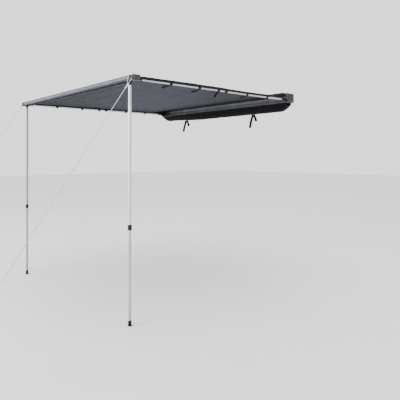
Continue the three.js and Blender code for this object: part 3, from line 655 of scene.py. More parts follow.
def place(piece: Piece, where: Matrix) -> Piece:
    """Puts a piece in its place and leaves the place in its mesh.

    Args:
        piece: A piece at the origin.
        where: Its place.

    Returns:
        The same piece.
    """
    choose(piece)
    piece.matrix_world = where
    bpy.ops.object.transform_apply(location=True, rotation=True, scale=True)
    if where.determinant() < 0:
        edit(piece)
        bpy.ops.mesh.normals_make_consistent(inside=False)
        bpy.ops.object.mode_set(mode="OBJECT")
    return piece


def named(name: str) -> Piece:
    """Names the active piece."""
    piece = bpy.context.object
    piece.name = piece.data.name = name
    return piece


def turned(name: str, profile: Profile, sides: int = 48, hollow: bool = False) -> Piece:
    """Draws a circle out along Z, with a new radius at each step.

    Args:
        name: The piece's name.
        profile: Radius and height of each ring. A hollow piece's profile ends
            where it started.
        sides: How many sides the circle has.
        hollow: Whether the profile is a loop round a bore.

    Returns:
        The piece, about the Z axis.
    """
    deselect()
    radius, height = profile[0]
    bpy.ops.mesh.primitive_circle_add(
        vertices=sides, radius=radius, fill_type="NOTHING" if hollow else "TRIFAN",
        location=(0, 0, height),
    )
    piece = named(name)
    bpy.ops.object.transform_apply(location=True, rotation=True, scale=True)
    edit(piece)
    for next_radius, next_height in profile[1:]:
        bpy.ops.mesh.extrude_region_move(
            TRANSFORM_OT_translate={"value": (0, 0, next_height - height)}
        )
        if abs(next_radius - radius) > 1e-9:
            grow = next_radius / radius
            bpy.ops.transform.resize(value=(grow, grow, 1), center_override=(0, 0, next_height))
        radius, height = next_radius, next_height
    bpy.ops.mesh.select_all(action="SELECT")
    bpy.ops.mesh.remove_doubles(threshold=1e-6)
    bpy.ops.mesh.normals_make_consistent(inside=False)
    bpy.ops.object.mode_set(mode="OBJECT")
    return piece


def block(name: str, low: Place, high: Place) -> Piece:
    """A block between two corners.

    Args:
        name: The piece's name.
        low: Its lowest corner.
        high: Its highest corner.

    Returns:
        The piece.
    """
    deselect()
    middle = [(a + b) / 2 for a, b in zip(low, high)]
    bpy.ops.mesh.primitive_cube_add(
        size=1, location=middle, scale=[b - a for a, b in zip(low, high)]
    )
    piece = named(name)
    bpy.ops.object.transform_apply(location=True, rotation=True, scale=True)
    return piece


def planed(piece: Piece, planes: Sequence[tuple[Place, Place]]) -> Piece:
    """Cuts a convex piece back to planes and closes the cuts.

    Args:
        piece: The piece.
        planes: A point on each plane and the direction that is cut away.

    Returns:
        The same piece.
    """
    for point, away in planes:
        edit(piece)
        bpy.ops.mesh.bisect(plane_co=point, plane_no=away, use_fill=True, clear_outer=True)
        bpy.ops.object.mode_set(mode="OBJECT")
    return piece


def bevelled(piece: Piece, width: float, segments: int = 3) -> Piece:
    """Rounds the sharp edges of a piece.

    Args:
        piece: The piece.
        width: The bevel's width.
        segments: Its steps.

    Returns:
        The same piece.
    """
    return apply_modifier(
        piece,
        "BEVEL",
        {
            "width": width, "segments": segments, "limit_method": "ANGLE",
            "angle_limit": math.radians(35), "use_clamp_overlap": True,
        },
    )


def select_faces(piece: Piece, wanted: Callable[[Vector, Vector], bool]) -> None:
    """Opens a piece in edit mode with some of its faces selected.

    Args:
        piece: The piece.
        wanted: Says whether a face is wanted, from its middle and normal.
    """
    edit(piece)
    bpy.ops.mesh.select_mode(type="FACE")
    bpy.ops.mesh.select_all(action="DESELECT")
    bpy.ops.object.mode_set(mode="OBJECT")
    for face in piece.data.polygons:
        face.select = wanted(face.center, face.normal)
    bpy.ops.object.mode_set(mode="EDIT")


def panelled(
    piece: Piece, wanted: Callable[[Vector, Vector], bool], rim: float, depth: float,
    each: bool = False,
) -> Piece:
    """Sinks some faces behind a rim.

    Args:
        piece: The piece.
        wanted: Says whether a face is sunk, from its middle and normal.
        rim: The rim's width.
        depth: How deep the face sinks. Less than nothing raises it.
        each: Whether each face gets a rim of its own.

    Returns:
        The same piece.
    """
    select_faces(piece, wanted)
    bpy.ops.mesh.inset(thickness=rim, depth=0, use_individual=each)
    bpy.ops.mesh.inset(thickness=rim * 0.25, depth=-depth, use_individual=each)
    bpy.ops.mesh.select_mode(type="VERT")
    bpy.ops.object.mode_set(mode="OBJECT")
    return piece


def combined(piece: Piece, other: Piece, operation: str = "UNION") -> Piece:
    """Joins two closed pieces, or cuts one with the other, and drops the other.

    Args:
        piece: The piece that stays.
        other: The piece that it is joined to or cut with.
        operation: UNION or DIFFERENCE.

    Returns:
        The piece that stays.
    """
    apply_modifier(piece, "BOOLEAN", {"operation": operation, "object": other, "solver": "EXACT"})
    bpy.data.objects.remove(other)
    return piece


def finished(
    piece: Piece, material: Material, body: str | None, replaces: Sequence[str] = (),
    angle: float = 32,
) -> Piece:
    """Gives a piece its finish, its body and the nodes that it stands for.

    Args:
        piece: A piece in its place.
        material: Its finish.
        body: The body that it rides on, or none, which leaves it unattached.
        replaces: The nodes that it stands for.
        angle: Edges flatter than this are shaded smooth, in degrees.

    Returns:
        The same piece.
    """
    choose(piece)
    bpy.ops.object.shade_smooth_by_angle(angle=math.radians(angle))
    piece.data.materials.clear()
    piece.data.materials.append(material)
    if body is not None:
        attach(piece, body)
    if replaces:
        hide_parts(*replaces)
    log.info("%s: %d faces", piece.name, len(piece.data.polygons))
    return piece


def dressed(node: str, material: Material) -> None:
    """Gives a node of the frame that stays its finish.

    Args:
        node: The node's name.
        material: Its finish.
    """
    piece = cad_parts[node]
    piece.data.materials.clear()
    piece.data.materials.append(material)
    log.info("%s: kept from the frame", node)


def woven_mesh(
    name: str, verts: Sequence[Vector], rows: int, columns: int,
    flat: Callable[[int, int], tuple[float, float]], closed: bool = False,
) -> Piece:
    """A grid of points made into a mesh with a flat layout in metres.

    Args:
        name: The piece's name.
        verts: The points, row by row.
        rows: How many rows there are.
        columns: How many points a row has.
        flat: The place of a point in the flat layout, by row and column.
        closed: Whether each row closes on itself.

    Returns:
        The piece.
    """
    around = columns if closed else columns - 1
    faces, layout = [], []
    for row in range(rows - 1):
        for column in range(around):
            after = (column + 1) % columns
            faces.append(
                (
                    row * columns + column,
                    row * columns + after,
                    (row + 1) * columns + after,
                    (row + 1) * columns + column,
                )
            )
            layout += [
                flat(row, column), flat(row, column + 1), flat(row + 1, column + 1),
                flat(row + 1, column),
            ]
    if closed:
        for end, row in ((0, 0), (1, rows - 1)):
            ring = [row * columns + column for column in range(columns)]
            faces.append(tuple(ring if end else reversed(ring)))
            layout += [flat(row, 0)] * columns
    mesh = bpy.data.meshes.new(name)
    mesh.from_pydata([tuple(v) for v in verts], [], faces)
    layer = mesh.uv_layers.new(name="flat")
    for loop, place_in_flat in zip(layer.data, layout):
        loop.uv = place_in_flat
    piece = bpy.data.objects.new(name, mesh)
    bpy.context.scene.collection.objects.link(piece)
    return piece


def smooth_path(points: Sequence[Vector], steps: int = 8) -> list[Vector]:
    """A centripetal curve through points.

    Args:
        points: Where it goes through.
        steps: How many points it has for each span.

    Returns:
        The points of the curve.
    """
    known = [Vector(p) for p in points]
    known = [2 * known[0] - known[1], *known, 2 * known[-1] - known[-2]]
    path = [known[1]]
    for p0, p1, p2, p3 in zip(known, known[1:], known[2:], known[3:]):
        t1 = max((p1 - p0).length ** 0.5, 1e-6)
        t2 = t1 + max((p2 - p1).length ** 0.5, 1e-6)
        t3 = t2 + max((p3 - p2).length ** 0.5, 1e-6)
        for step in range(1, steps + 1):
            t = t1 + (t2 - t1) * step / steps
            a1 = p0.lerp(p1, t / t1)
            a2 = p1.lerp(p2, (t - t1) / (t2 - t1))
            a3 = p2.lerp(p3, (t - t2) / (t3 - t2))
            b1, b2 = a1.lerp(a2, t / t2), a2.lerp(a3, (t - t1) / (t3 - t1))
            path.append(b1.lerp(b2, (t - t1) / (t2 - t1)))
    return path


def path_length(path: Sequence[Vector]) -> float:
    """The length of a path."""
    return sum((b - a).length for a, b in zip(path, path[1:]))


def round_along(
    name: str, path: Sequence[Vector], radius: Callable[[float], float], sides: int = 12
) -> Piece:
    """A cord or bar of round section along a path, with closed ends.

    Args:
        name: The piece's name.
        path: The points of its middle line.
        radius: Its radius at each share of the way.
        sides: How many sides it has.

    Returns:
        The piece, laid out flat in metres.
    """
    total = path_length(path)
    tangents = [
        (path[min(i + 1, len(path) - 1)] - path[max(i - 1, 0)]).normalized()
        for i in range(len(path))
    ]
    across = tangents[0].orthogonal().normalized()
    verts, runs, run = [], [], 0.0
    for i, (point, tangent) in enumerate(zip(path, tangents)):
        across = (across - tangent * across.dot(tangent)).normalized()
        up = tangent.cross(across)
        run += (point - path[i - 1]).length if i else 0.0
        runs.append(run)
        wide = radius(run / total)
        for side in range(sides):
            turn = 2 * math.pi * side / sides
            verts.append(point + (across * math.cos(turn) + up * math.sin(turn)) * wide)
    girth = 2 * math.pi * radius(0.5)
    return woven_mesh(
        name, verts, len(path), sides, lambda row, column: (runs[row], girth * column / sides),
        closed=True,
    )


def ribbon(
    name: str, path: Sequence[Vector], across: Callable[[int], Vector], width: float,
    thickness: float, columns: int = 5,
) -> Piece:
    """A strap along a path, with its thickness and a flat layout in metres.

    Args:
        name: The piece's name.
        path: The points of its middle line.
        across: The direction across it at each point.
        width: Its width.
        thickness: Its thickness.
        columns: How many points it has across.

    Returns:
        The piece.
    """
    runs = [0.0]
    for a, b in zip(path, path[1:]):
        runs.append(runs[-1] + (b - a).length)
    verts = [
        point + across(i) * width * (column / (columns - 1) - 0.5)
        for i, point in enumerate(path)
        for column in range(columns)
    ]
    piece = woven_mesh(
        name, verts, len(path), columns,
        lambda row, column: (runs[row], width * column / (columns - 1)),
    )
    return apply_modifier(
        piece, "SOLIDIFY", {"thickness": thickness, "offset": 0.0, "use_even_offset": True}
    )


def spool(name: str, radius: float, half: float, edge: float = 0.001, sides: int = 48) -> Piece:
    """A disc or a bar about Z, with a slanted edge at each end.

    Args:
        name: The piece's name.
        radius: Its radius.
        half: Half its length.
        edge: How much narrower its ends are.
        sides: How many sides it has.

    Returns:
        The piece.
    """
    long, end = half - 0.001, radius - edge
    return turned(name, [(end, -half), (radius, -long), (radius, long), (end, half)], sides)


def drilled(piece: Piece, radius: float, half: float, where: Matrix) -> Piece:
    """Drills a round hole through a piece.

    Args:
        piece: The piece.
        radius: The hole's radius.
        half: Half the drill's length.
        where: The drill's place, which runs along Z before.

    Returns:
        The same piece.
    """
    drill = turned("drill", [(radius, -half), (radius, half)], 32)
    return combined(piece, place(drill, where), "DIFFERENCE")


def mirrored(piece: Piece, side: Side) -> Piece:
    """Turns a piece that was drawn for the near side into the far side's."""
    return place(piece, Matrix.Scale(-1, 4, (1, 0, 0))) if side is Side.FAR else piece


def rings(radius: float, start: float, pitch: float, depth: float, slope: float) -> Profile:
    """The profile of three grooves round a moulding, each with a floor of 1.4 mm.

    Args:
        radius: The moulding's radius.
        start: Where the first groove starts.
        pitch: From groove to groove.
        depth: Their depth.
        slope: How long each of their slanted walls is.

    Returns:
        Radius and height of each ring.
    """
    profile = []
    for at in (start + number * pitch for number in range(3)):
        floor = radius - depth
        profile += [(radius, at), (floor, at + slope)]
        profile += [(floor, at + slope + 0.0014), (radius, at + 2 * slope + 0.0014)]
    return profile


def screwed(word: str, side: Side, x: float, places: Profile, body: str, steel: Material) -> None:
    """Sets screws in the face of a moulded end.

    Args:
        word: What they are named after.
        side: The end that they are on.
        x: How far from the middle they are.
        places: Where on the face they are, as Y and Z.
        body: The body that they ride on.
        steel: Their finish.
    """
    turn = Matrix.Rotation(side.value * math.pi / 2, 4, "Y")
    for number, (y, z) in enumerate(places, 1):
        at = Matrix.Translation((side.value * x, y, z))
        screw = screw_head(f"{word}_screw_{side.word}_{number}", 0.0036, 0.0022, at @ turn)
        finished(screw, steel, body)


def screw_head(name: str, radius: float, height: float, where: Matrix) -> Piece:
    """A domed screw head with a cross recess, about Z before it is placed.

    Args:
        name: The piece's name.
        radius: The head's radius.
        height: Its height.
        where: Its place.

    Returns:
        The piece.
    """
    head = turned(
        name,
        [
            (radius, 0), (radius, height * 0.35), (radius * 0.9, height * 0.68),
            (radius * 0.66, height * 0.92), (radius * 0.3, height),
        ],
        24,
    )
    slot, deep = radius * 0.14, height * 0.45
    for long, wide in ((radius * 0.62, slot), (slot, radius * 0.62)):
        cut = block("recess", (-long, -wide, height - deep), (long, wide, height * 2))
        combined(head, cut, "DIFFERENCE")
    return place(head, where)


# Camera, floor and light


@dataclass
class Studio:
    """The camera at the photograph's viewing angle, a pale floor and soft light."""

    eye: Place = (3.977, -4.163, -0.682)
    heading: float = math.atan2(0.7257, 0.688)
    lens: float = 37.14
    drop: float = -0.1045
    floor_size: float = 60.0

    def set_camera(self) -> None:
        """Sets the camera level, with the photograph's shift."""
        camera = bpy.data.cameras.new("camera")
        camera.lens, camera.sensor_width = self.lens, 36.0
        camera.shift_y = self.drop
        camera.clip_end = 200.0
        stand = bpy.data.objects.new("camera", camera)
        stand.location = self.eye
        stand.rotation_euler = (math.pi / 2, 0.0, self.heading)
        bpy.context.scene.collection.objects.link(stand)
        bpy.context.scene.camera = stand

    def lay_floor(self) -> None:
        """Lays the floor under the feet."""
        deselect()
        bpy.ops.mesh.primitive_grid_add(
            x_subdivisions=8, y_subdivisions=8, size=self.floor_size,
            location=(0, 0, SET_OUT.ground - 0.0005),
        )
        floor = named("floor")
        bpy.ops.object.transform_apply(location=True, rotation=True, scale=True)
        floor.data.materials.append(StudioPaper().make())

    def hang_lights(self) -> None:
        """Hangs a large soft light in front of the awning, and fills from the right and above."""
        lights = (
            ("key", (-1.0, -8.6, 0.9), 5.0, 560.0),
            ("fill", (8.5, 1.0, 0.6), 5.0, 150.0),
            ("top", (0.5, -1.5, 6.0), 6.0, 170.0),
        )
        aim = Vector((0.0, -1.2, -0.6))
        for name, where, size, power in lights:
            lamp = bpy.data.lights.new(name, "AREA")
            lamp.shape, lamp.size, lamp.energy = "SQUARE", size, power
            stand = bpy.data.objects.new(name, lamp)
            stand.location = where
            stand.rotation_mode = "QUATERNION"
            stand.rotation_quaternion = (aim - Vector(where)).to_track_quat("-Z", "Y")
            bpy.context.scene.collection.objects.link(stand)
        world = bpy.data.worlds.new("studio")
        bpy.context.scene.world = world
        world.use_nodes = True
        tree = world.node_tree
        tree.nodes.clear()
        # the room is darker on the right, which gives the tubes their shaded side
        spot = add(tree, "TexCoord").outputs["Generated"]
        side = add(tree, "SeparateXYZ", spot).outputs["X"]
        strength = add(
            tree, "MapRange", side, 0.15, 0.95, 1.75, 0.6, interpolation_type="SMOOTHSTEP"
        )
        room = add(tree, "Background", Color="#ffffff", Strength=strength)
        add(tree, "OutputWorld", room)


# Guy ropes


@dataclass
class GuyRope:
    """A bridle on the end of the front bar, a runner, a taut rope and its peg."""

    side: Side
    finishes: Finishes
    diameter: float = 0.005
    spread: float = 0.040
    top_drop: float = 0.010
    bottom_drop: float = 0.036
    runner_drop: float = 0.080
    runner_out: float = 0.026
    runner_length: float = 0.038
    runner_width: float = 0.014
    runner_thickness: float = 0.005
    lean: float = math.radians(34.6)
    peg_eye: float = 0.118
    peg_lean: float = math.radians(38)
    peg_radius: float = 0.0035
    hook: float = 0.010
    loop: float = 0.042

    def __post_init__(self) -> None:
        """Works out the places that the frame's cords have."""
        self.radius = self.diameter / 2
        self.middle = self.side.value * (SET_OUT.bar_length / 2 + 0.032)
        self.face = -SET_OUT.reach - 0.001 - SET_OUT.seat
        self.along = Vector((0, -math.sin(self.lean), -math.cos(self.lean)))
        self.turn = Vector((0, 0, 1)).rotation_difference(self.along).to_matrix().to_4x4()
        self.top = Vector(
            (self.middle, -SET_OUT.reach - self.runner_out, SET_OUT.bar_top - self.runner_drop)
        )
        self.start = self.top + self.along * (self.runner_length + SET_OUT.seat)
        run = (self.start.z - SET_OUT.ground - self.peg_eye) / math.cos(self.lean)
        self.end = self.start + self.along * run

    def build(self) -> None:
        """Builds the cords and the pieces on them."""
        runner = self.make_runner()
        self.make_bridle()
        self.make_peg()
        self.make_rope()

    def make_bridle(self) -> None:
        """Builds the bridle, from the block's face round the runner and back.
        """
        turn = self.diameter
        apex = self.top - self.along * (self.radius + SET_OUT.seat)

        def strand(across: float, drop: float) -> list[Vector]:
            """The points where one end leaves the block."""
            x, z = self.middle + self.side.value * across, SET_OUT.bar_top - drop
            return [
                Vector((x, self.face, z)), Vector((x, self.face - turn, z)),
                Vector((x, self.face - 1.5 * turn, z - turn)),
            ]

        def over(across: float, lift: float) -> Vector:
            """A point of the bridle over the runner."""
            return Vector((self.middle + self.side.value * across, apex.y, apex.z + lift))

        path = smooth_path(
            [
                *strand(-self.spread / 2, self.top_drop), over(-2 * turn, turn),
                over(-turn, 0.0003), over(0, 0), over(turn, 0.0003), over(2 * turn, turn),
                *reversed(strand(self.spread / 2, self.bottom_drop)),
            ],
            7,
        )
        word = self.side.word
        bridle = round_along(f"guy_bridle_cord_{word}", path, lambda share: self.radius, 14)
        finished(bridle, self.finishes.rope, "front_bar", [f"guy_bridle_{word}"], 60)
        knot = self.make_knot(f"bridle_knot_{word}", apex + self.along * 0.002, 0.0058)
        for end, at in (("inner", path[0]), ("outer", path[-1])):
            stop = turned(
                f"bridle_ferrule_{end}_{word}",
                [(0.0052, 0), (0.0052, 0.0012), (0.0044, 0.0024), (0.0036, 0.0028)], 24,
            )
            place(stop, Matrix.Translation(at) @ LAID)
            finished(stop, self.finishes.black, "front_bar")

    def make_knot(self, name: str, where: Vector, size: float) -> Piece:
        """Builds a drawn-up overhand knot.

        Args:
            name: The piece's name.
            where: Its middle.
            size: The radius of the loops' middle line.

        Returns:
            The piece.
        """
        wide = min(self.radius, size * 0.42)
        points = []
        for step in range(72):
            t = 2 * math.pi * step / 72
            loop = size * (0.62 + 0.38 * math.cos(3 * t) * 0.8)
            lift = size * 0.75 * math.sin(3 * t)
            points.append(Vector((loop * math.cos(2 * t), loop * math.sin(2 * t), lift)))
        path = [where + self.turn @ p for p in [*points, points[0]]]
        knot = round_along(name, path, lambda share: wide, 10)
        return finished(knot, self.finishes.rope, "front_bar", angle=60)

    def make_runner(self) -> Piece:
        """Builds the line runner, a flat moulded plate with two holes."""
        word = self.side.word
        half, thick = self.runner_width / 2, self.runner_thickness / 2
        plate = block(f"line_runner_{word}", (-half, -thick, 0), (half, thick, self.runner_length))
        bevelled(plate, 0.0014, 3)
        for height in (half, self.runner_length - half):
            drilled(plate, 0.003, 0.01, Matrix.Translation((0, 0, height)) @ LAID)
        place(plate, Matrix.Translation(self.top) @ self.turn)
        return finished(
            plate, self.finishes.pale, "front_bar", [f"guy_runner_{word}"]
        )

    def make_rope(self) -> None:
        """Builds the taut rope, with the eye that is tied round the peg."""
        word = self.side.word
        steps = 40
        path = [self.start.lerp(self.end, step / steps) for step in range(steps + 1)]
        tie = self.end - self.along * self.loop
        path = [p for p in path if (p - self.start).length < (tie - self.start).length - 0.01]
        path.append(tie)
        rope = round_along(f"guy_rope_cord_{word}", path, lambda share: self.radius, 14)
        finished(rope, self.finishes.rope, "front_bar", [f"guy_rope_{word}"], 60)
        knots = [
            self.make_knot(f"rope_knot_top_{word}", self.start + self.along * 0.004, 0.0052),
            self.make_knot(f"rope_knot_peg_{word}", tie, 0.0052),
            self.make_eye(f"rope_eye_{word}", tie),
        ]

    def make_eye(self, name: str, tie: Vector) -> Piece:
        """Builds the eye of the rope, round the peg and back to its knot.

        Args:
            name: The piece's name.
            tie: The knot's middle.

        Returns:
            The piece.
        """
        wide = self.peg_radius + self.radius + 0.0004
        centre = self.peg_line()[0]
        aim = (centre - tie).normalized()
        points = []
        for step in range(29):
            turn = math.pi * (step / 28 - 0.5)
            aside = Vector((wide * math.sin(turn), 0, 0))
            points.append(centre + aim * wide * math.cos(turn) + aside)
        first = [tie.lerp(points[0], share / 6) for share in range(6)]
        last = [points[-1].lerp(tie, share / 6) for share in range(1, 7)]
        for share, (a, b) in enumerate(zip(first, reversed(last))):
            bow = 0.0016 * math.sin(math.pi * share / 6)
            a.x -= bow
            b.x += bow
        eye = round_along(name, [*first, *points, *last], lambda share: self.radius * 0.94, 12)
        return finished(eye, self.finishes.rope, "front_bar", angle=60)

    def peg_line(self) -> tuple[Vector, Vector, Vector]:
        """Where the rope meets the peg, and the peg's direction and outward side."""
        shaft = Vector((0, math.sin(self.peg_lean), -math.cos(self.peg_lean)))
        outward = Vector((0, -math.cos(self.peg_lean), -math.sin(self.peg_lean)))
        off = self.peg_radius + SET_OUT.seat + self.radius * abs(self.along.dot(shaft))
        return self.end + outward * off, shaft, outward

    def make_peg(self) -> None:
        """Builds the steel peg, with its bent head and its ground point."""
        word = self.side.word
        eye, shaft, outward = self.peg_line()
        long = (eye.z - SET_OUT.ground - 0.001 - self.peg_radius) / math.cos(self.peg_lean)
        tip = eye + shaft * long
        shares = ((1, 0), (1.8, 0.9), (1.5, 1.9), (0.5, 2.2))
        bend = [eye - shaft * back * self.hook + outward * out * self.hook for back, out in shares]
        path = smooth_path([tip, eye.lerp(tip, 0.5), eye, *bend], 14)

        def thick(share: float) -> float:
            """The point tapers over the first tenth and the head's end is rounded."""
            if share < 0.11:
                return self.peg_radius * max(0.14, share / 0.11)
            return self.peg_radius * min(1.0, 0.45 + (1 - share) * 40)

        peg = round_along(f"ground_peg_{word}", path, thick, 18)
        finished(peg, self.finishes.steel, "front_bar", [f"guy_peg_{word}"], 60)


# Rail


@dataclass
class Rail:
    """The rail with its end caps, brackets and bolts."""

    finishes: Finishes
    cap_thickness: float = 0.0217
    cap_nose: float = 0.067
    cap_crown: float = 0.006
    chamfer: float = 0.020
    nose_lift: float = 0.034
    bolt_radius: float = 0.004
    bolt_head: float = 0.0065
    bolt_height: float = 0.038
    bracket_place: float = 0.700
    bolt_spread: float = 0.017

    def build(self) -> None:
        """Builds and dresses the rail's pieces."""
        dressed("rail", self.finishes.rail)
        for side in Side:
            dressed(f"mount_bracket_{side.word}", self.finishes.steel)
            self.make_cap(side)
            for number in (1, 2):
                self.make_bolt(side, number)

    def make_cap(self, side: Side) -> None:
        """Builds a moulded end cap, with a rim, a sunk panel, ribs and screws.

        Args:
            side: The end of the rail.
        """
        under, top = SET_OUT.rail_under, SET_OUT.rail_top + self.cap_crown
        nose = -SET_OUT.rail_depth - self.cap_nose
        inner = SET_OUT.rail_length / 2 + SET_OUT.seat
        outer = inner + self.cap_thickness
        cap = block(f"rail_end_cap_{side.word}", (inner, nose, under), (outer, 0, top))
        small = self.chamfer / 2
        low = under + self.nose_lift
        under_nose = (0, under - low, nose + self.chamfer + SET_OUT.rail_depth)
        corners = (
            ((0, 0, top - small), (0, 1, 1)),
            ((0, nose, top - small), (0, -1, 1)),
            ((0, nose, low + self.chamfer), (0, -1, -1)),
            ((0, -SET_OUT.rail_depth, under), under_nose),
        )
        planed(cap, corners)
        bevelled(cap, 0.0022, 3)
        panelled(cap, lambda at, normal: normal.x > 0.99, 0.006, 0.0022)
        for share in (0.26, 0.42, 0.58, 0.74):
            y = nose * share
            start = (outer - 0.004, y - 0.0011, under + 0.030)
            rib = block("rib", start, (outer - 0.0006, y + 0.0011, top - 0.014))
            combined(cap, bevelled(rib, 0.0005, 2))
        mirrored(cap, side)
        finished(cap, self.finishes.grey, "rail", [f"rail_cap_{side.word}"])
        places = ((-0.014, 0.058), (-0.124, 0.052), (-0.030, -0.012))
        screwed("cap", side, outer - 0.0024, places, "rail", self.finishes.steel)

    def make_bolt(self, side: Side, number: int) -> None:
        """Builds a bolt with its round head in the rail, a washer and a hexagon nut.

        Args:
            side: The bracket's side.
            number: Which of the bracket's two bolts it is, from the lower X.
        """
        seat, wall, plate = SET_OUT.seat, 0.003, 0.006
        shank = self.bolt_radius
        across = side.value * self.bracket_place + (2 * number - 3) * self.bolt_spread
        inside, behind = -wall - seat, plate + 2 * seat
        bolt = turned(
            f"bolt_{side.word}_{number}",
            [
                (self.bolt_head * 0.55, inside - 0.004), (self.bolt_head * 0.86, inside - 0.0032),
                (self.bolt_head, inside - 0.0014), (self.bolt_head, inside), (shank, inside),
                (shank, behind + 0.0046), (shank * 0.8, behind + 0.0052),
            ],
            32,
        )
        washer = turned(
            "washer",
            [(self.bolt_head + 0.0014, behind), (self.bolt_head + 0.0014, behind + 0.0009)], 36,
        )
        nut = turned(
            "nut",
            [
                (self.bolt_head * 0.96, behind + 0.0008), (self.bolt_head * 1.04, behind + 0.0012),
                (self.bolt_head * 1.04, behind + 0.0036), (self.bolt_head * 0.96, behind + 0.004),
            ],
            6,
        )
        combined(combined(bolt, washer), nut)
        place(
            bolt,
            Matrix.Translation((across, 0, self.bolt_height))
            @ Matrix.Rotation(-math.pi / 2, 4, "X"),
        )
        finished(
            bolt, self.finishes.steel, "rail", [f"bracket_bolt_{side.word}_{number}"]
        )


# Soft cover under the rail


@dataclass
class Cover:
    """The soft cover that hangs open under the rail, and its straps."""

    finishes: Finishes
    thickness: float = 0.0018
    near_depth: float = 0.098
    far_depth: float = 0.0745
    front: float = -0.0947
    back: float = -0.0033
    end: float = 1.1637
    end_run: float = 0.125
    near_end_depth: float = 0.030
    far_end_depth: float = 0.008
    strap_width: float = 0.030
    strap_thickness: float = 0.0018
    strap_line: float = -0.052
    strap_lead: float = 0.006
    strap_places: tuple[float, float] = (0.625, -0.655)
    girth: float = 0.235
    bunching: float = 0.94
    columns: int = 31

    def build(self) -> None:
        """Builds the shell, its binding and the straps."""
        self.make_shell()
        self.make_binding()
        self.make_straps(Side.NEAR, self.strap_places[0], -0.046, 0.038)
        self.make_straps(Side.FAR, self.strap_places[1], -0.058, 0.042)

    def sagged(self, x: float) -> float:
        """How deep the cover hangs, but for its rising ends: it sags more to the near end."""
        share = min(1.0, max(0.0, (x / SET_OUT.rail_length + 0.42) / 0.29))
        return self.far_depth + (self.near_depth - self.far_depth) * eased(share)

    def depth_at(self, x: float) -> float:
        """How deep the cover hangs at a place along the rail."""
        share = max(0.0, (abs(x) - (self.end - self.end_run)) / self.end_run)
        shallow = self.near_end_depth if x > 0 else self.far_end_depth
        return shallow + (self.sagged(x) - shallow) * (1 - share * share)

    def section(self, share: float) -> tuple[float, float]:
        """Width share and depth share at a share of the way round the section."""
        width = -math.cos(math.pi * share)
        wide = math.copysign(abs(width) ** 0.62, width)
        return wide, max(0.0, 1 - abs(wide) ** 4) ** (1 / 3.5)

    def make_shell(self) -> None:
        """Lofts the sheet from end to end, with shallow folds and sag between the straps."""
        top = SET_OUT.rail_under - SET_OUT.seat
        rows = 181
        random.seed(7)
        phases = [random.uniform(0, 2 * math.pi) for _ in range(6)]
        half = self.thickness / 2
        middle, wide = (self.front + self.back) / 2, (self.back - self.front) / 2 - half
        verts = []
        for row in range(rows):
            # the rows stand closer near the ends
            turn = math.pi / 2 * (2 * row / (rows - 1) - 1) * self.bunching
            x = self.end * math.sin(turn) / math.sin(math.pi / 2 * self.bunching)
            deep = self.depth_at(x) - half
            for column in range(self.columns):
                share = column / (self.columns - 1)
                w, d = self.section(share)
                fold = 0.0011 * math.sin(13.0 * x + phases[0] + 4 * share) * d
                fold += 0.0006 * math.sin(41.0 * x + phases[1] - 6 * share) * d
                pull = sum(0.0016 * math.exp(-(((x - at) / 0.05) ** 2)) for at in self.strap_places)
                z = top - deep * d + (abs(fold) - fold * 0.3 + pull) * d
                verts.append(Vector((x, middle + wide * w * (1 - 0.012 * abs(fold) / 0.001), z)))
        step = self.girth / (self.columns - 1)
        shell = woven_mesh(
            "cover_shell", verts, rows, self.columns,
            lambda row, column: (verts[row * self.columns].x + 1.2, step * column),
        )
        apply_modifier(
            shell, "SOLIDIFY", {"thickness": self.thickness, "offset": 0.0, "use_even_offset": True}
        )
        finished(shell, self.finishes.sheeting, "rail", ["cover"], 50)

    def make_binding(self) -> None:
        """Binds the front lip, where the cover closes, and runs its zip tape along it."""
        top = SET_OUT.rail_under - SET_OUT.seat
        steps = 90
        path = [
            Vector(
                (
                    (self.end - 0.012) * (2 * step / steps - 1),
                    self.front + 0.0025 - 0.0006 * math.sin(step * 1.7),
                    top - 0.0105,
                )
            )
            for step in range(steps + 1)
        ]
        tape = ribbon(
            "cover_zip_tape", path, lambda i: Vector((0, 0.06, 1)).normalized(), 0.018, 0.0012
        )
        place(tape, Matrix.Translation((0, -0.0036, 0)))
        finished(tape, self.finishes.strap, "rail")

    def make_straps(self, side: Side, x: float, long_shift: float, short_shift: float) -> None:
        """Builds a hanging pair of webbing straps, sewn together at the top.

        Args:
            side: The half of the cover that it hangs under.
            x: Where it hangs.
            long_shift: How far the long strap swings along the rail.
            short_shift: How far the short one does.
        """
        deepest = self.sagged(x + self.strap_width / 2)
        top = SET_OUT.rail_under - deepest - 2 * SET_OUT.seat
        for word, drop, shift, layer in (
            ("long", 0.160, long_shift, 0.0), ("short", 0.080, short_shift, 0.0032)
        ):
            path = []
            for step in range(33):
                share = step / 32
                bow = shift * (0.65 * share + 0.35 * math.sin(share * math.pi / 2))
                swing = 0.0012 * math.sin(share * 7 + x) * share
                path.append(
                    Vector((
                        x + bow + math.copysign(self.strap_lead, shift),
                        self.strap_line + layer + 0.001 + swing,
                        top - drop * share,
                    ))
                )
            strap = ribbon(
                f"cover_strap_{word}_{side.word}", path, lambda i, path=path: self.across(path, i),
                self.strap_width, self.strap_thickness, 7,
            )
            strap = finished(
                strap, self.finishes.strap, "rail",
                [f"cover_straps_{side.word}"] if word == "long" else [], 45,
            )
            self.make_strap_end(f"{word}_{side.word}", path, self.across(path, len(path) - 1))
        patch = block(
            f"strap_patch_{side.word}",
            (x - self.strap_width / 2 - 0.007, self.strap_line - 0.0006, top - 0.017),
            (x + self.strap_width / 2 + 0.007, self.strap_line + 0.0058, top - 0.0002),
        )
        bevelled(patch, 0.0012, 3)
        finished(patch, self.finishes.black, "rail")

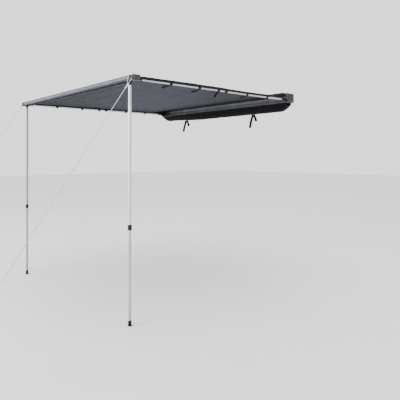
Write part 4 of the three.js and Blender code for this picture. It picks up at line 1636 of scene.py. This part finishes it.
    def across(self, path: Sequence[Vector], i: int) -> Vector:
        """The direction across a hanging strap, which turns outward as it hangs."""
        run = (path[min(i + 1, len(path) - 1)] - path[max(i - 1, 0)]).normalized()
        flat = Vector((-run.z, 0, run.x))
        share = min(1.0, i / 9)
        turn = math.radians(-46) * eased(share)
        return (Matrix.Rotation(turn, 3, run) @ flat).normalized()

    def make_strap_end(self, word: str, path: Sequence[Vector], side: Vector) -> None:
        """Builds the moulded tab that stops a strap's end from fraying.

        Args:
            word: Which strap it is on.
            path: The strap's middle line.
            side: The direction across its end.
        """
        run = (path[-1] - path[-3]).normalized()
        half = self.strap_width / 2 + 0.001
        tab = block(f"strap_tab_{word}", (-half, -0.002, -0.009), (half, 0.002, 0.0016))
        bevelled(tab, 0.0011, 3)
        turn = Matrix((side, (-run).cross(side), -run)).transposed().to_4x4()
        place(tab, Matrix.Translation(path[-1]) @ turn)
        finished(tab, self.finishes.black, "rail")


# Canopy with its hems and ties


@dataclass
class Canopy:
    """The stretched cloth, its welts, hems and ties."""

    finishes: Finishes
    thickness: float = 0.0007
    sag: float = 0.018
    mid_lift: float = 0.034
    rise: float = 0.300
    hem_drop: float = 0.022
    columns: int = 201
    rows: int = 181
    welt_radius: float = 0.0035
    tie_places: tuple[float, ...] = (0.1894, 0.3427, 0.4555, 0.6463, 0.7965)
    edge_pull: float = 0.16
    front_dips: tuple[tuple[float, float], ...] = (
        (-2.19, 0.0), (-1.70, 0.003), (-1.30, 0.007), (-1.00, 0.015), (-0.85, 0.019), (-0.46, 0.021)
    )
    near_dips: tuple[tuple[float, float], ...] = ((-0.31, 0.0), (-0.16, -0.013), (-0.07, 0.0))
    far_dips: tuple[tuple[float, float], ...] = ((-0.31, 0.024), (-0.16, 0.020), (-0.07, 0.0))
    tie_width: float = 0.026
    tie_thickness: float = 0.0015
    # every loop is as wide as the outer tube, which it slides onto as the bar comes in
    loop_radius: float = 0.0125
    near_tails: tuple[tuple[float, float], ...] = (
        (0.128, -0.008), (0.112, -0.014), (0.056, -0.050), (0.100, -0.010), (0.012, -0.003)
    )
    far_tails: tuple[tuple[float, float], ...] = ((0.012, -0.004),) * 5

    def __post_init__(self) -> None:
        """Works out the edges that the frame's canopy has."""
        self.front = SET_OUT.bar_rear + SET_OUT.groove + 0.001
        self.rear = -SET_OUT.rail_depth - 0.001
        self.half = SET_OUT.canopy_width / 2 - 0.0019
        self.front_height = SET_OUT.bar_top - SET_OUT.groove / 2
        self.rear_height = SET_OUT.rail_top - SET_OUT.groove / 2

    def height(self, y: float) -> float:
        """The height of the sheet's edge at a place between the bar and the rail."""
        start = self.rear - self.rise
        middle = (self.front + self.rear) / 2
        lift = SET_OUT.arm_height(middle, Side.NEAR) + self.mid_lift
        slope = (lift - self.front_height) / (middle - self.front)
        at_rise = self.front_height + slope * (start - self.front)
        if y <= start:
            return self.front_height + slope * (y - self.front)
        t = (y - start) / (self.rear - start)
        climb = (self.rear_height - at_rise) * eased(t)
        return at_rise + slope * self.rise * t * (1 - t) + climb

    def dip(self, y: float, side: Side) -> float:
        """How far the ties and the arm pull an edge down at a place."""
        dips = self.front_dips + (self.near_dips if side is Side.NEAR else self.far_dips)
        for (start, low), (stop, high) in zip(dips, dips[1:]):
            if start <= y <= stop:
                share = (y - start) / (stop - start)
                return low + (high - low) * eased(share)
        return 0.0

    def edge(self, y: float, side: Side) -> float:
        """The height of an edge of the sheet."""
        return self.height(y) - self.dip(y, side)

    def wrinkle(self, x: float, y: float) -> float:
        """The height of the folds that the tension and the roll leave.

        Args:
            x: Where along the rail.
            y: Where between the bar and the rail.

        Returns:
            How far the cloth is lifted.
        """
        along = (y - self.front) / (self.rear - self.front)
        side = x / self.half
        lift = 0.0
        # folds that fan out from the corners
        for way in (1, -1):
            for at, strong, reach in ((self.front, 0.0062, 0.62), (self.rear, 0.0034, 0.45)):
                dx, dy = way * self.half - x, y - at
                far = math.hypot(dx, dy)
                turn = math.atan2(abs(dy), abs(dx) + 1e-6)
                if far < 0.22:
                    swell = (far / 0.22) * math.exp(1 - far / 0.22)
                else:
                    swell = math.exp(-((far - 0.22) / reach) ** 2)
                lift += strong * swell * math.sin(17 * turn + 1.3 * way + 9 * at)
        # slack along the bar, and where the sheet climbs to the rail
        lift += 0.0016 * math.exp(-along / 0.12) * math.sin(38 * x + 2.2 * math.sin(3 * x))
        climb = math.exp(-(1 - along) / 0.10)
        lift += 0.0030 * climb * math.sin(21 * x + 1.5 * math.sin(4.3 * x + 1))
        # long ripples parallel to the bar, one for each turn of the roll
        run = y - self.front
        lift += 0.0020 * math.sin(2 * math.pi * run / 0.27 + 0.35 * math.sin(2.4 * x))
        lift += 0.0010 * math.sin(2 * math.pi * run / 0.113 + 0.9 * math.sin(1.7 * x + 2))
        # the ties pull the edge down
        for way in (1, -1):
            for share in self.tie_places:
                dy = y - (-SET_OUT.reach + share * SET_OUT.reach)
                dx = self.half - way * x
                far = math.hypot(dx, dy * 1.6)
                turn = math.atan2(dy, dx + 1e-6)
                lift -= 0.0022 * math.exp(-((far / 0.075) ** 2))
                lift += 0.0014 * math.exp(-((far - 0.14) / 0.11) ** 2) * math.cos(11 * turn)
        held = min(1.0, along / 0.02) * min(1.0, (1 - along) / 0.02)
        edge = 0.45 + 0.55 * min(1.0, (1 - abs(side)) / 0.06)
        return lift * held * edge

    def build(self) -> None:
        """Builds the sheet, its welts, hems and ties."""
        self.make_welts()
        hems = [self.make_hem(side) for side in Side]
        ties = [tie for side in Side for tie in self.make_ties(side)]
        self.make_sheet()

    def gathered(self, piece: Piece) -> Piece:
        """Bakes a piece's place into its mesh."""
        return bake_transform(piece)

    def make_sheet(self) -> None:
        """Builds the cloth as one continuous sheet.
        """
        verts = []
        for row in range(self.rows):
            along = row / (self.rows - 1)
            y = self.front + (self.rear - self.front) * along
            for column in range(self.columns):
                share = 2 * column / (self.columns - 1) - 1
                x = share * self.half
                pulled = max(0.0, 1 - (self.half - abs(x)) / self.edge_pull)
                pull = self.dip(y, Side.NEAR if x > 0 else Side.FAR)
                z = self.height(y) - pull * eased(pulled)
                z -= self.sag * (1 - share**2) * math.sin(math.pi * along)
                verts.append(Vector((x, y, z + self.wrinkle(x, y))))
        sheet = woven_mesh(
            "canopy_cloth",
            verts,
            self.rows,
            self.columns,
            lambda row, column: (
                2 * self.half * column / (self.columns - 1),
                (self.rear - self.front) * row / (self.rows - 1),
            ),
        )
        apply_modifier(sheet, "SOLIDIFY", {"thickness": self.thickness, "offset": 0.0})
        finished(sheet, self.finishes.cloth, None, ["canopy"], 60)
        self.gathered(sheet)

    def make_welts(self) -> None:
        """Builds the sewn cords that hold the cloth in the two grooves."""
        rear = -SET_OUT.rail_depth + SET_OUT.groove / 2
        front = SET_OUT.bar_rear + SET_OUT.groove / 2
        for word, y, z, out, length, body in (
            ("rear", rear, self.rear_height, -1, SET_OUT.rail_length, "rail"),
            ("front", front, self.front_height, 1, SET_OUT.bar_length, "front_bar"),
        ):
            half = length / 2 - 0.008
            edge = 0.3 * self.welt_radius
            welt = spool(f"canopy_welt_{word}", self.welt_radius, half, edge, 28)
            place(welt, Matrix.Translation((0, y, z)) @ Matrix.Rotation(math.pi / 2, 4, "Y"))
            reach = out * (SET_OUT.groove / 2 + 0.0007)
            low, high = sorted((y, y + reach))
            lip = block("lip", (-half, low, z - 0.0008), (half, high, z + 0.0008))
            combined(welt, lip)
            finished(welt, self.finishes.cloth, body, [f"canopy_{word}_welt"])

    def make_hem(self, side: Side) -> Piece:
        """Builds the webbing hem along one edge.

        Args:
            side: The edge.

        Returns:
            The piece.
        """
        rows, columns = 161, 5
        x = side.value * (SET_OUT.canopy_width / 2 - 0.0008)
        verts = []
        for row in range(rows):
            y = self.front + (self.rear - self.front) * row / (rows - 1)
            ripple = 0.0009 * math.sin(19 * y) + 0.0005 * math.sin(47 * y + 1)
            for column in range(columns):
                share = column / (columns - 1)
                out = max(0.0, ripple + 0.0009) * share
                z = self.edge(y, side) + 0.0008 - (self.hem_drop + 0.0008) * share
                verts.append(Vector((x + side.value * out, y, z)))
        hem = woven_mesh(
            f"canopy_hem_tape_{side.word}",
            verts,
            rows,
            columns,
            lambda row, column: (
                (self.rear - self.front) * row / (rows - 1), self.hem_drop * column / (columns - 1)
            ),
        )
        apply_modifier(hem, "SOLIDIFY", {"thickness": 0.0014, "offset": 0.0})
        finished(hem, self.finishes.hem_tape, None, [f"canopy_hem_{side.word}"], 60)
        return self.gathered(hem)

    def make_ties(self, side: Side) -> list[Piece]:
        """Builds the hook and loop ties of one edge.

        Args:
            side: The edge.

        Returns:
            The ties.
        """
        tails = self.near_tails if side is Side.NEAR else self.far_tails
        made = []
        for number, (share, tail) in enumerate(zip(self.tie_places, tails), 1):
            y = -SET_OUT.reach + share * SET_OUT.reach
            made += self.make_tie(side, number, y, tail)
        return made

    def make_tie(self, side: Side, number: int, y: float, tail: tuple[float, float]) -> list[Piece]:
        """Builds the two halves of a tie, one over the arm and one under it with the loose tail.

        Args:
            side: The edge that it is sewn to.
            number: Which tie it is, from the front.
            y: Where it is.
            tail: How far its tail reaches inward and how far it rises or droops.

        Returns:
            The two halves.
        """
        axis = Vector((side.value * SET_OUT.arm_spacing / 2, y, SET_OUT.arm_height(y, side)))
        hem = (SET_OUT.canopy_width - SET_OUT.arm_spacing) / 2 - 0.0016
        low = self.edge(y, side) - self.hem_drop - axis.z
        thick = self.tie_thickness
        inner = self.loop_radius + 0.0006 + thick / 2
        outer = self.loop_radius + 0.0008 + thick * 1.5

        def on(u: float, v: float) -> Vector:
            """A point of the section through the tie."""
            return axis + Vector((side.value * u, 0, v))

        def arc(radius: float, start: float, stop: float, count: int) -> list[Vector]:
            """Points round the arm, by degrees from the outboard side."""
            turns = [math.radians(start + (stop - start) * i / count) for i in range(count + 1)]
            return [on(radius * math.cos(t), radius * math.sin(t)) for t in turns]

        def tangent(u: float, v: float, radius: float, way: int) -> float:
            """The degrees at which a straight run from a point meets a circle round the arm."""
            return math.degrees(math.atan2(v, u) + way * math.acos(radius / math.hypot(u, v)))

        first = hem - thick / 2 - 0.0002
        second = first - thick - 0.0001
        over = [on(first, low + 0.012), on(first, low + 0.004)]
        over += arc(inner, tangent(first, low + 0.004, inner, 1), 285, 26)
        under = [on(second, low + 0.012), on(second, low + 0.003)]
        under += arc(outer, tangent(second, low + 0.003, outer, -1), -82, 12)
        last = under[-1]
        reach, drop = tail
        count = 12
        for step in range(1, count + 1):
            share = step / count
            sway = 0.004 * math.sin(share * math.pi) * (1 if number % 2 else -1)
            fall = drop * share**1.3 + sway * (reach > 0.02)
            under.append(last + Vector((-side.value * reach * share, 0, fall)))
        turned_at = len(under) - count

        def turned_tail(i: int) -> Vector:
            """A long tail turns on edge as it leaves the arm."""
            share = min(1.0, max(0, i - turned_at) / 5) * (reach > 0.02)
            turn = math.radians(27) * eased(share)
            return Vector((0, math.cos(turn), -math.sin(turn)))

        pieces = []
        for word, points in (("over", over), ("under", under)):
            half = ribbon(
                f"hem_tie_{word}_{side.word}_{number}", points,
                turned_tail if word == "under" else lambda i: Vector((0, 1, 0)), self.tie_width,
                thick, 5,
            )
            finished(half, self.finishes.tie_tape, None, angle=50)
            pieces.append(self.gathered(half))
        return pieces


# Arms


@dataclass
class Arm:
    """A telescopic arm with its root, lock and tip."""

    side: Side
    finishes: Finishes
    outer_radius: float = 0.0125
    inner_radius: float = 0.0105
    wall: float = 0.0012
    root_radius: float = 0.0145
    root_length: float = 0.160
    neck: float = 0.018
    plug: float = 0.006
    eye_radius: float = 0.010
    eye_height: float = 0.014
    pin_radius: float = 0.004
    lock_radius: float = 0.016
    lock_height: float = 0.042
    overlap: float = 0.072
    tip_width: float = 0.018
    tip_thickness: float = 0.009
    tip_neck: float = 0.026
    tip_end: float = 0.011
    mouth: float = 0.0046

    def __post_init__(self) -> None:
        """Works out the arm's place and the places along it."""
        hinge = (
            self.side.value * SET_OUT.arm_spacing / 2,
            SET_OUT.arm_lane(self.side),
            SET_OUT.hinge_height,
        )
        self.group = Matrix.Translation(hinge) @ Matrix.Rotation(SET_OUT.slope, 4, "X")
        self.run = self.group @ LAID
        self.length = SET_OUT.arm_length(self.side)
        self.collar = self.length - SET_OUT.collar_from_tip
        self.outer_start = self.neck + self.plug + SET_OUT.seat
        self.outer_end = self.collar + 0.006
        self.inner_start = self.outer_end - self.overlap
        self.inner_end = self.length - self.tip_neck - 2 * SET_OUT.seat

    def build(self) -> None:
        """Builds the arm's pieces from the hinge to the tip."""
        word, body = self.side.word, f"{self.side.word}_arm"
        dressed(f"arm_bracket_{word}", self.finishes.steel)
        dressed(f"arm_collet_{word}", self.finishes.grey)
        self.make_pin()
        self.make_root(body)
        silver = self.finishes.arm_tube
        telescoped(self, "arm", silver, silver)
        self.make_tip(f"{body}_inner")

    def make_pin(self) -> None:
        """Builds the hinge pin, a rivet with two domed heads."""
        half = self.eye_height / 2 + 2 * SET_OUT.seat + 0.004
        rivet = rivet_of(f"arm_hinge_rivet_{self.side.word}", self.pin_radius, 0.006, 0.0022, half)
        place(rivet, self.group)
        node = f"arm_hinge_pin_{self.side.word}"
        finished(rivet, self.finishes.steel, "rail", [node])

    def make_root(self, body: str) -> None:
        """Builds the moulded root: eye, neck and a sleeve with grip rings.

        Args:
            body: The body that it rides on.
        """
        r, bore = self.root_radius, self.outer_radius + SET_OUT.seat
        floor, long = self.neck + self.plug, self.root_length
        profile = [(r - 0.003, self.neck), (r - 0.0009, self.neck + 0.0012), (r, self.neck + 0.003)]
        profile += rings(r, long - 0.018, 0.005, 0.0008, 0.0006)
        profile += [(r, long - 0.001), (r - 0.0006, long), (bore, long), (bore, floor)]
        root = turned(f"arm_root_moulding_{self.side.word}", profile, 48)
        place(root, LAID)
        half = self.eye_height / 2
        neck = block(
            "neck", (-self.eye_radius, -self.neck - self.plug / 2, -half),
            (self.eye_radius, 0, half),
        )
        eye = spool("eye", self.eye_radius, half)
        combined(combined(root, bevelled(neck, 0.001, 2)), eye)
        drilled(root, self.pin_radius + SET_OUT.seat, 0.02, Matrix())
        place(root, self.group)
        finished(root, self.finishes.black, body, [f"arm_root_{self.side.word}"])

    def make_tip(self, body: str) -> None:
        """Builds the moulded tip, a flat tongue with its notch on a round plug.

        Args:
            body: The body that it rides on.
        """
        half, thick = self.tip_width / 2, self.tip_thickness / 2
        plug_radius = self.inner_radius - self.wall - SET_OUT.seat
        shoulder = self.length - self.tip_neck
        plug = turned(
            f"arm_tip_moulding_{self.side.word}",
            [
                (plug_radius - 0.001, shoulder - 0.024), (plug_radius, shoulder - 0.023),
                (plug_radius, shoulder - SET_OUT.seat),
                (self.inner_radius, shoulder - SET_OUT.seat),
                (self.inner_radius, shoulder + self.mouth * 0.8),
                (self.inner_radius * 0.8, shoulder + self.mouth * 1.4),
                (thick, shoulder + 2 * self.mouth),
            ],
            40,
        )
        place(plug, LAID)
        tongue = block("tongue", (-half, -self.tip_end, -thick), (half, self.tip_neck, thick))
        planed(
            tongue,
            (
                ((-half + self.mouth, -self.tip_end, 0), (-1, -1, 0)),
                ((half - self.mouth / 2, -self.tip_end, 0), (1, -1, 0)),
            ),
        )
        bevelled(tongue, 0.0009, 3)
        notch = turned("notch", [(self.mouth, -0.02), (self.mouth, 0.02)], 40)
        mouth = block("mouth", (0, -self.mouth, -0.02), (0.03, self.mouth, 0.02))
        combined(notch, mouth)
        combined(tongue, notch, "DIFFERENCE")
        mirrored(tongue, self.side)
        place(tongue, Matrix.Translation((0, -self.length, 0)))
        combined(plug, tongue)
        place(plug, self.group)
        finished(plug, self.finishes.black, body, [f"arm_tip_{self.side.word}"])


def tube(name: str, radius: float, wall: float, start: float, stop: float) -> Piece:
    """A drawn tube with broken edges, along Z.

    Args:
        name: The piece's name.
        radius: Its outer radius.
        wall: Its wall.
        start: Where it starts.
        stop: Where it ends.

    Returns:
        The piece.
    """
    edge = 0.0003
    return turned(
        name,
        [
            (radius, start + edge), (radius, stop - edge), (radius - edge, stop),
            (radius - wall, stop), (radius - wall, start), (radius - edge, start),
            (radius, start + edge),
        ],
        48,
        hollow=True,
    )


def rivet_of(name: str, shank: float, head: float, height: float, half: float) -> Piece:
    """A rivet with a domed head at each end, about Z.

    Args:
        name: The piece's name.
        shank: Its radius.
        head: The heads' radius.
        height: The heads' height.
        half: Half the length between the heads.

    Returns:
        The piece.
    """
    dome = [(head, 0.0), (head, height * 0.3), (head * 0.88, height * 0.7), (head * 0.55, height)]
    profile = [(r, -half - h) for r, h in reversed(dome)]
    profile += [(shank, -half), (shank, half)]
    profile += [(r, half + h) for r, h in dome]
    return turned(name, profile, 32)


def twist_lock(
    name: str, radius: float, bore: float, neck_bore: float, middle: float, height: float
) -> Piece:
    """A collar that is turned by hand, with finger flutes and a smooth nose, about Z.

    Args:
        name: The piece's name.
        radius: Its outer radius.
        bore: The radius of its bore.
        neck_bore: The radius of the bore through its floor.
        middle: Its middle.
        height: Its height.

    Returns:
        The piece.
    """
    low, high, floor = middle - height / 2, middle + height / 2, 0.004
    grip = 0.0062
    collar = turned(
        name,
        [
            (radius - 0.0009, low), (radius, low + 0.0009), (radius, low + grip),
            (radius, high - floor - grip), (radius - 0.0003, high - floor - 0.001),
            (radius - 0.0018, high - 0.0008), (radius - 0.0030, high), (neck_bore, high),
            (neck_bore, high - floor), (bore, high - floor), (bore, low), (radius - 0.0009, low),
        ],
        48,
        hollow=True,
    )

    def flute(at: Vector, normal: Vector) -> bool:
        """Every other pair of the grip's faces."""
        if not low + grip < at.z < high - floor - grip or at.xy.length < bore + 0.0005:
            return False
        turn = (math.degrees(math.atan2(at.y, at.x)) % 360) / 7.5
        return int(turn) % 4 == 0

    return panelled(collar, flute, 0.0003, 0.0011)


def telescoped(limb: "Arm | Leg", kind: str, silver: Material, slide: Material) -> None:
    """Builds a limb's two tubes and the twist lock that holds them.

    Args:
        limb: The arm or leg.
        kind: What its pieces are named after.
        silver: The outer tube's finish.
        slide: The inner tube's.
    """
    word, body = limb.side.word, f"{limb.side.word}_{kind}"
    for part, rides, radius, start, stop, finish in (
        ("outer", body, limb.outer_radius, limb.outer_start, limb.outer_end, silver),
        ("inner", f"{body}_inner", limb.inner_radius, limb.inner_start, limb.inner_end, slide),
    ):
        piece = tube(f"{kind}_tube_{part}_{word}", radius, limb.wall, start, stop)
        place(piece, limb.run)
        finished(piece, finish, rides, [f"{kind}_{part}_tube_{word}"])
    lock = twist_lock(
        f"{kind}_twist_lock_{word}", limb.lock_radius, limb.outer_radius + 0.0017,
        limb.inner_radius + SET_OUT.seat, limb.collar, limb.lock_height,
    )
    place(lock, limb.run)
    black = limb.finishes.black
    finished(lock, black, f"{body}_lock", [f"{kind}_lock_{word}"], 40)


# Front bar


@dataclass
class FrontBar:
    """The front bar with its moulded ends, studs and pivot pins."""

    finishes: Finishes
    end_length: float = 0.064
    proud: float = 0.001
    edge: float = 0.005
    plug: float = 0.022
    wall: float = 0.0022
    ear: float = 0.009
    ear_thickness: float = 0.004
    tip_thickness: float = 0.009
    play: float = 0.0008
    stud_radius: float = 0.004

    def build(self) -> None:
        """Builds and dresses the bar's pieces."""
        dressed("front_bar", self.finishes.bar)
        for side in Side:
            self.make_end(side)
            self.make_stud(side)
            self.make_pin(side)

    def make_end(self, side: Side) -> None:
        """Builds a moulded end block, with its panel, plug, ears and screws.

        Args:
            side: The end of the bar.
        """
        inner = SET_OUT.bar_length / 2 + SET_OUT.seat
        outer = inner + self.end_length
        front, rear = -SET_OUT.reach - self.proud, SET_OUT.bar_rear + self.proud
        top = SET_OUT.bar_top + self.proud
        under = SET_OUT.bar_top - SET_OUT.bar_height - self.proud
        end = block(f"bar_end_block_{side.word}", (inner, front, under), (outer, rear, top))
        planed(
            end,
            (
                ((0, front, top - self.edge), (0, -1, 1)),
                ((0, front, under + self.edge), (0, -1, -1)),
            ),
        )
        bevelled(end, 0.0016, 3)
        panelled(end, lambda at, normal: normal.x > 0.99, 0.005, 0.0016)
        panelled(end, lambda at, normal: normal.y < -0.99 and at.y < front + 0.0005, 0.004, 0.0008)
        gap = self.wall + SET_OUT.seat
        plug = block(
            "plug", (inner - self.plug, -SET_OUT.reach + gap, under + self.proud + self.wall),
            (inner + self.edge, SET_OUT.bar_rear - gap, top - self.proud - gap),
        )
        combined(end, bevelled(plug, 0.001, 2))
        height = SET_OUT.arm_height(SET_OUT.stud_line, side)
        stud = SET_OUT.arm_spacing / 2
        half = self.tip_thickness / 2 + self.play
        for low in (height + half, height - half - self.ear_thickness):
            high = low + self.ear_thickness
            start = (stud - self.ear, rear - self.edge, low)
            lug = block("lug", start, (stud + self.ear, SET_OUT.stud_line, high))
            nose = turned("nose", [(self.ear, low), (self.ear, high)], 40)
            place(nose, Matrix.Translation((stud, SET_OUT.stud_line, 0)))
            combined(lug, nose)
            combined(end, bevelled(lug, 0.0006, 2))
        bore = self.stud_radius + SET_OUT.seat
        drilled(end, bore, 0.03, Matrix.Translation((stud, SET_OUT.stud_line, height)))
        mirrored(end, side)
        finished(end, self.finishes.grey, "front_bar", [f"bar_end_{side.word}"])
        middle = (top + under) / 2
        places = ((front + 0.014, middle), (rear - 0.014, middle))
        screwed("bar", side, outer - 0.0018, places, "front_bar", self.finishes.steel)

    def make_stud(self, side: Side) -> None:
        """Builds the stud that takes an arm's tip.

        Args:
            side: The end of the bar.
        """
        half = self.tip_thickness / 2 + self.play + self.ear_thickness + SET_OUT.seat
        stud = rivet_of(f"arm_tip_stud_{side.word}", self.stud_radius, 0.006, 0.0022, half)
        at = (
            side.value * SET_OUT.arm_spacing / 2,
            SET_OUT.stud_line,
            SET_OUT.arm_height(SET_OUT.stud_line, side),
        )
        place(stud, Matrix.Translation(at))
        finished(stud, self.finishes.steel, "front_bar", [f"arm_stud_{side.word}"])

    def make_pin(self, side: Side) -> None:
        """Builds the pin that a leg folds on.

        Args:
            side: The leg's side.
        """
        half = (SET_OUT.bar_rear + SET_OUT.reach) / 2 + SET_OUT.seat
        pin = rivet_of(f"leg_pin_{side.word}", 0.004, 0.0065, 0.002, half)
        at = Matrix.Translation(
            (
                side.value * SET_OUT.leg_spacing / 2,
                (SET_OUT.bar_rear - SET_OUT.reach) / 2,
                SET_OUT.leg_pivot,
            )
        )
        place(pin, at @ LAID)
        node = f"leg_pivot_pin_{side.word}"
        finished(pin, self.finishes.steel, "front_bar", [node])


# Legs


@dataclass
class Leg:
    """A telescopic leg with its knuckle, lock and foot."""

    side: Side
    finishes: Finishes
    outer_radius: float = 0.0135
    inner_radius: float = 0.0115
    wall: float = 0.0012
    neck: float = 0.024
    shoulder: float = 0.024
    plug: float = 0.025
    eye_radius: float = 0.011
    eye_width: float = 0.020
    pin_radius: float = 0.004
    lock_radius: float = 0.017
    lock_height: float = 0.046
    collar_above_ground: float = 0.820
    overlap: float = 0.090
    foot_radius: float = 0.0165
    foot_top: float = 0.0142
    foot_height: float = 0.045
    foot_floor: float = 0.008

    def __post_init__(self) -> None:
        """Works out the leg's place and the places along it."""
        pivot = (
            self.side.value * SET_OUT.leg_spacing / 2,
            SET_OUT.leg_lane(self.side),
            SET_OUT.leg_pivot,
        )
        self.run = Matrix.Translation(pivot) @ Matrix.Rotation(math.pi, 4, "X")
        self.length = SET_OUT.leg_pivot - SET_OUT.ground
        self.collar = self.length - self.collar_above_ground
        self.outer_start = self.neck + self.shoulder + SET_OUT.seat
        self.outer_end = self.collar + 0.006
        self.inner_start = self.outer_end - self.overlap
        self.inner_end = self.length - self.foot_floor - SET_OUT.seat

    def build(self) -> None:
        """Builds the leg's pieces from the pivot to the ground."""
        word, body = self.side.word, f"{self.side.word}_leg"
        dressed(f"leg_collet_{word}", self.finishes.grey)
        self.make_knuckle(body)
        silver, slide = self.finishes.leg_tube, self.finishes.leg_slide
        telescoped(self, "leg", silver[self.side], slide[self.side])
        self.make_foot(f"{body}_inner")

    def make_knuckle(self, body: str) -> None:
        """Builds the moulded knuckle: eye, neck, shoulder and plug.

        Args:
            body: The body that it rides on.
        """
        start, stop = self.neck, self.neck + self.shoulder
        plug = self.outer_radius - self.wall - SET_OUT.seat
        knuckle = turned(
            f"leg_knuckle_moulding_{self.side.word}",
            [
                (self.eye_radius, start), (self.outer_radius - 0.0006, start + 0.0006),
                (self.outer_radius, start + 0.0014), (self.outer_radius, stop - 0.006),
                (self.outer_radius - 0.0006, stop - 0.0054),
                (self.outer_radius - 0.0006, stop - 0.0044), (self.outer_radius, stop - 0.0038),
                (self.outer_radius, stop - 0.0004), (self.outer_radius - 0.0004, stop),
                (plug, stop), (plug, stop + self.plug - 0.001), (plug - 0.001, stop + self.plug),
            ],
            48,
        )
        half = self.eye_width / 2
        neck = block("neck", (-self.eye_radius, -half, 0), (self.eye_radius, half, start + 0.0012))
        eye = spool("eye", self.eye_radius, half)
        place(eye, LAID)
        combined(combined(knuckle, bevelled(neck, 0.001, 2)), eye)
        drilled(knuckle, self.pin_radius + SET_OUT.seat, 0.03, LAID)
        place(knuckle, self.run)
        finished(
            knuckle, self.finishes.black, body, [f"leg_knuckle_{self.side.word}"]
        )

    def make_foot(self, body: str) -> None:
        """Builds the rubber foot, a cup with rings and a flared tread.

        Args:
            body: The body that it rides on.
        """
        bore = self.inner_radius + SET_OUT.seat
        top, floor = self.length - self.foot_height, self.length - self.foot_floor
        r = self.foot_top
        profile = [(r - 0.0008, top), (r, top + 0.0010)]
        profile += rings(r, top + 0.006, 0.006, 0.0009, 0.0007)
        profile += [
            (r, floor - self.foot_floor), (self.foot_radius - 0.0006, floor - 0.0014),
            (self.foot_radius, floor), (self.foot_radius, self.length - 0.0012),
            (self.foot_radius - 0.0012, self.length), (self.foot_radius * 0.5, self.length),
        ]
        foot = turned(f"leg_rubber_foot_{self.side.word}", profile, 48)
        cup = turned("cup", [(bore, top - 0.01), (bore, floor)], 48)
        combined(foot, cup, "DIFFERENCE")
        place(foot, self.run)
        finished(foot, self.finishes.rubber, body, [f"leg_foot_{self.side.word}"])


def main() -> None:
    """Builds the studio and every piece of the awning."""
    logging.basicConfig(level=logging.INFO, format="%(name)s: %(message)s")
    studio = Studio()
    studio.set_camera()
    finishes = Finishes()
    for side in Side:
        GuyRope(side, finishes).build()
    Rail(finishes).build()
    Cover(finishes).build()
    Canopy(finishes).build()
    FrontBar(finishes).build()
    for side in Side:
        Arm(side, finishes).build()
        Leg(side, finishes).build()
    studio.lay_floor()
    studio.hang_lights()
    deselect()


if __name__ == "__main__":
    main()
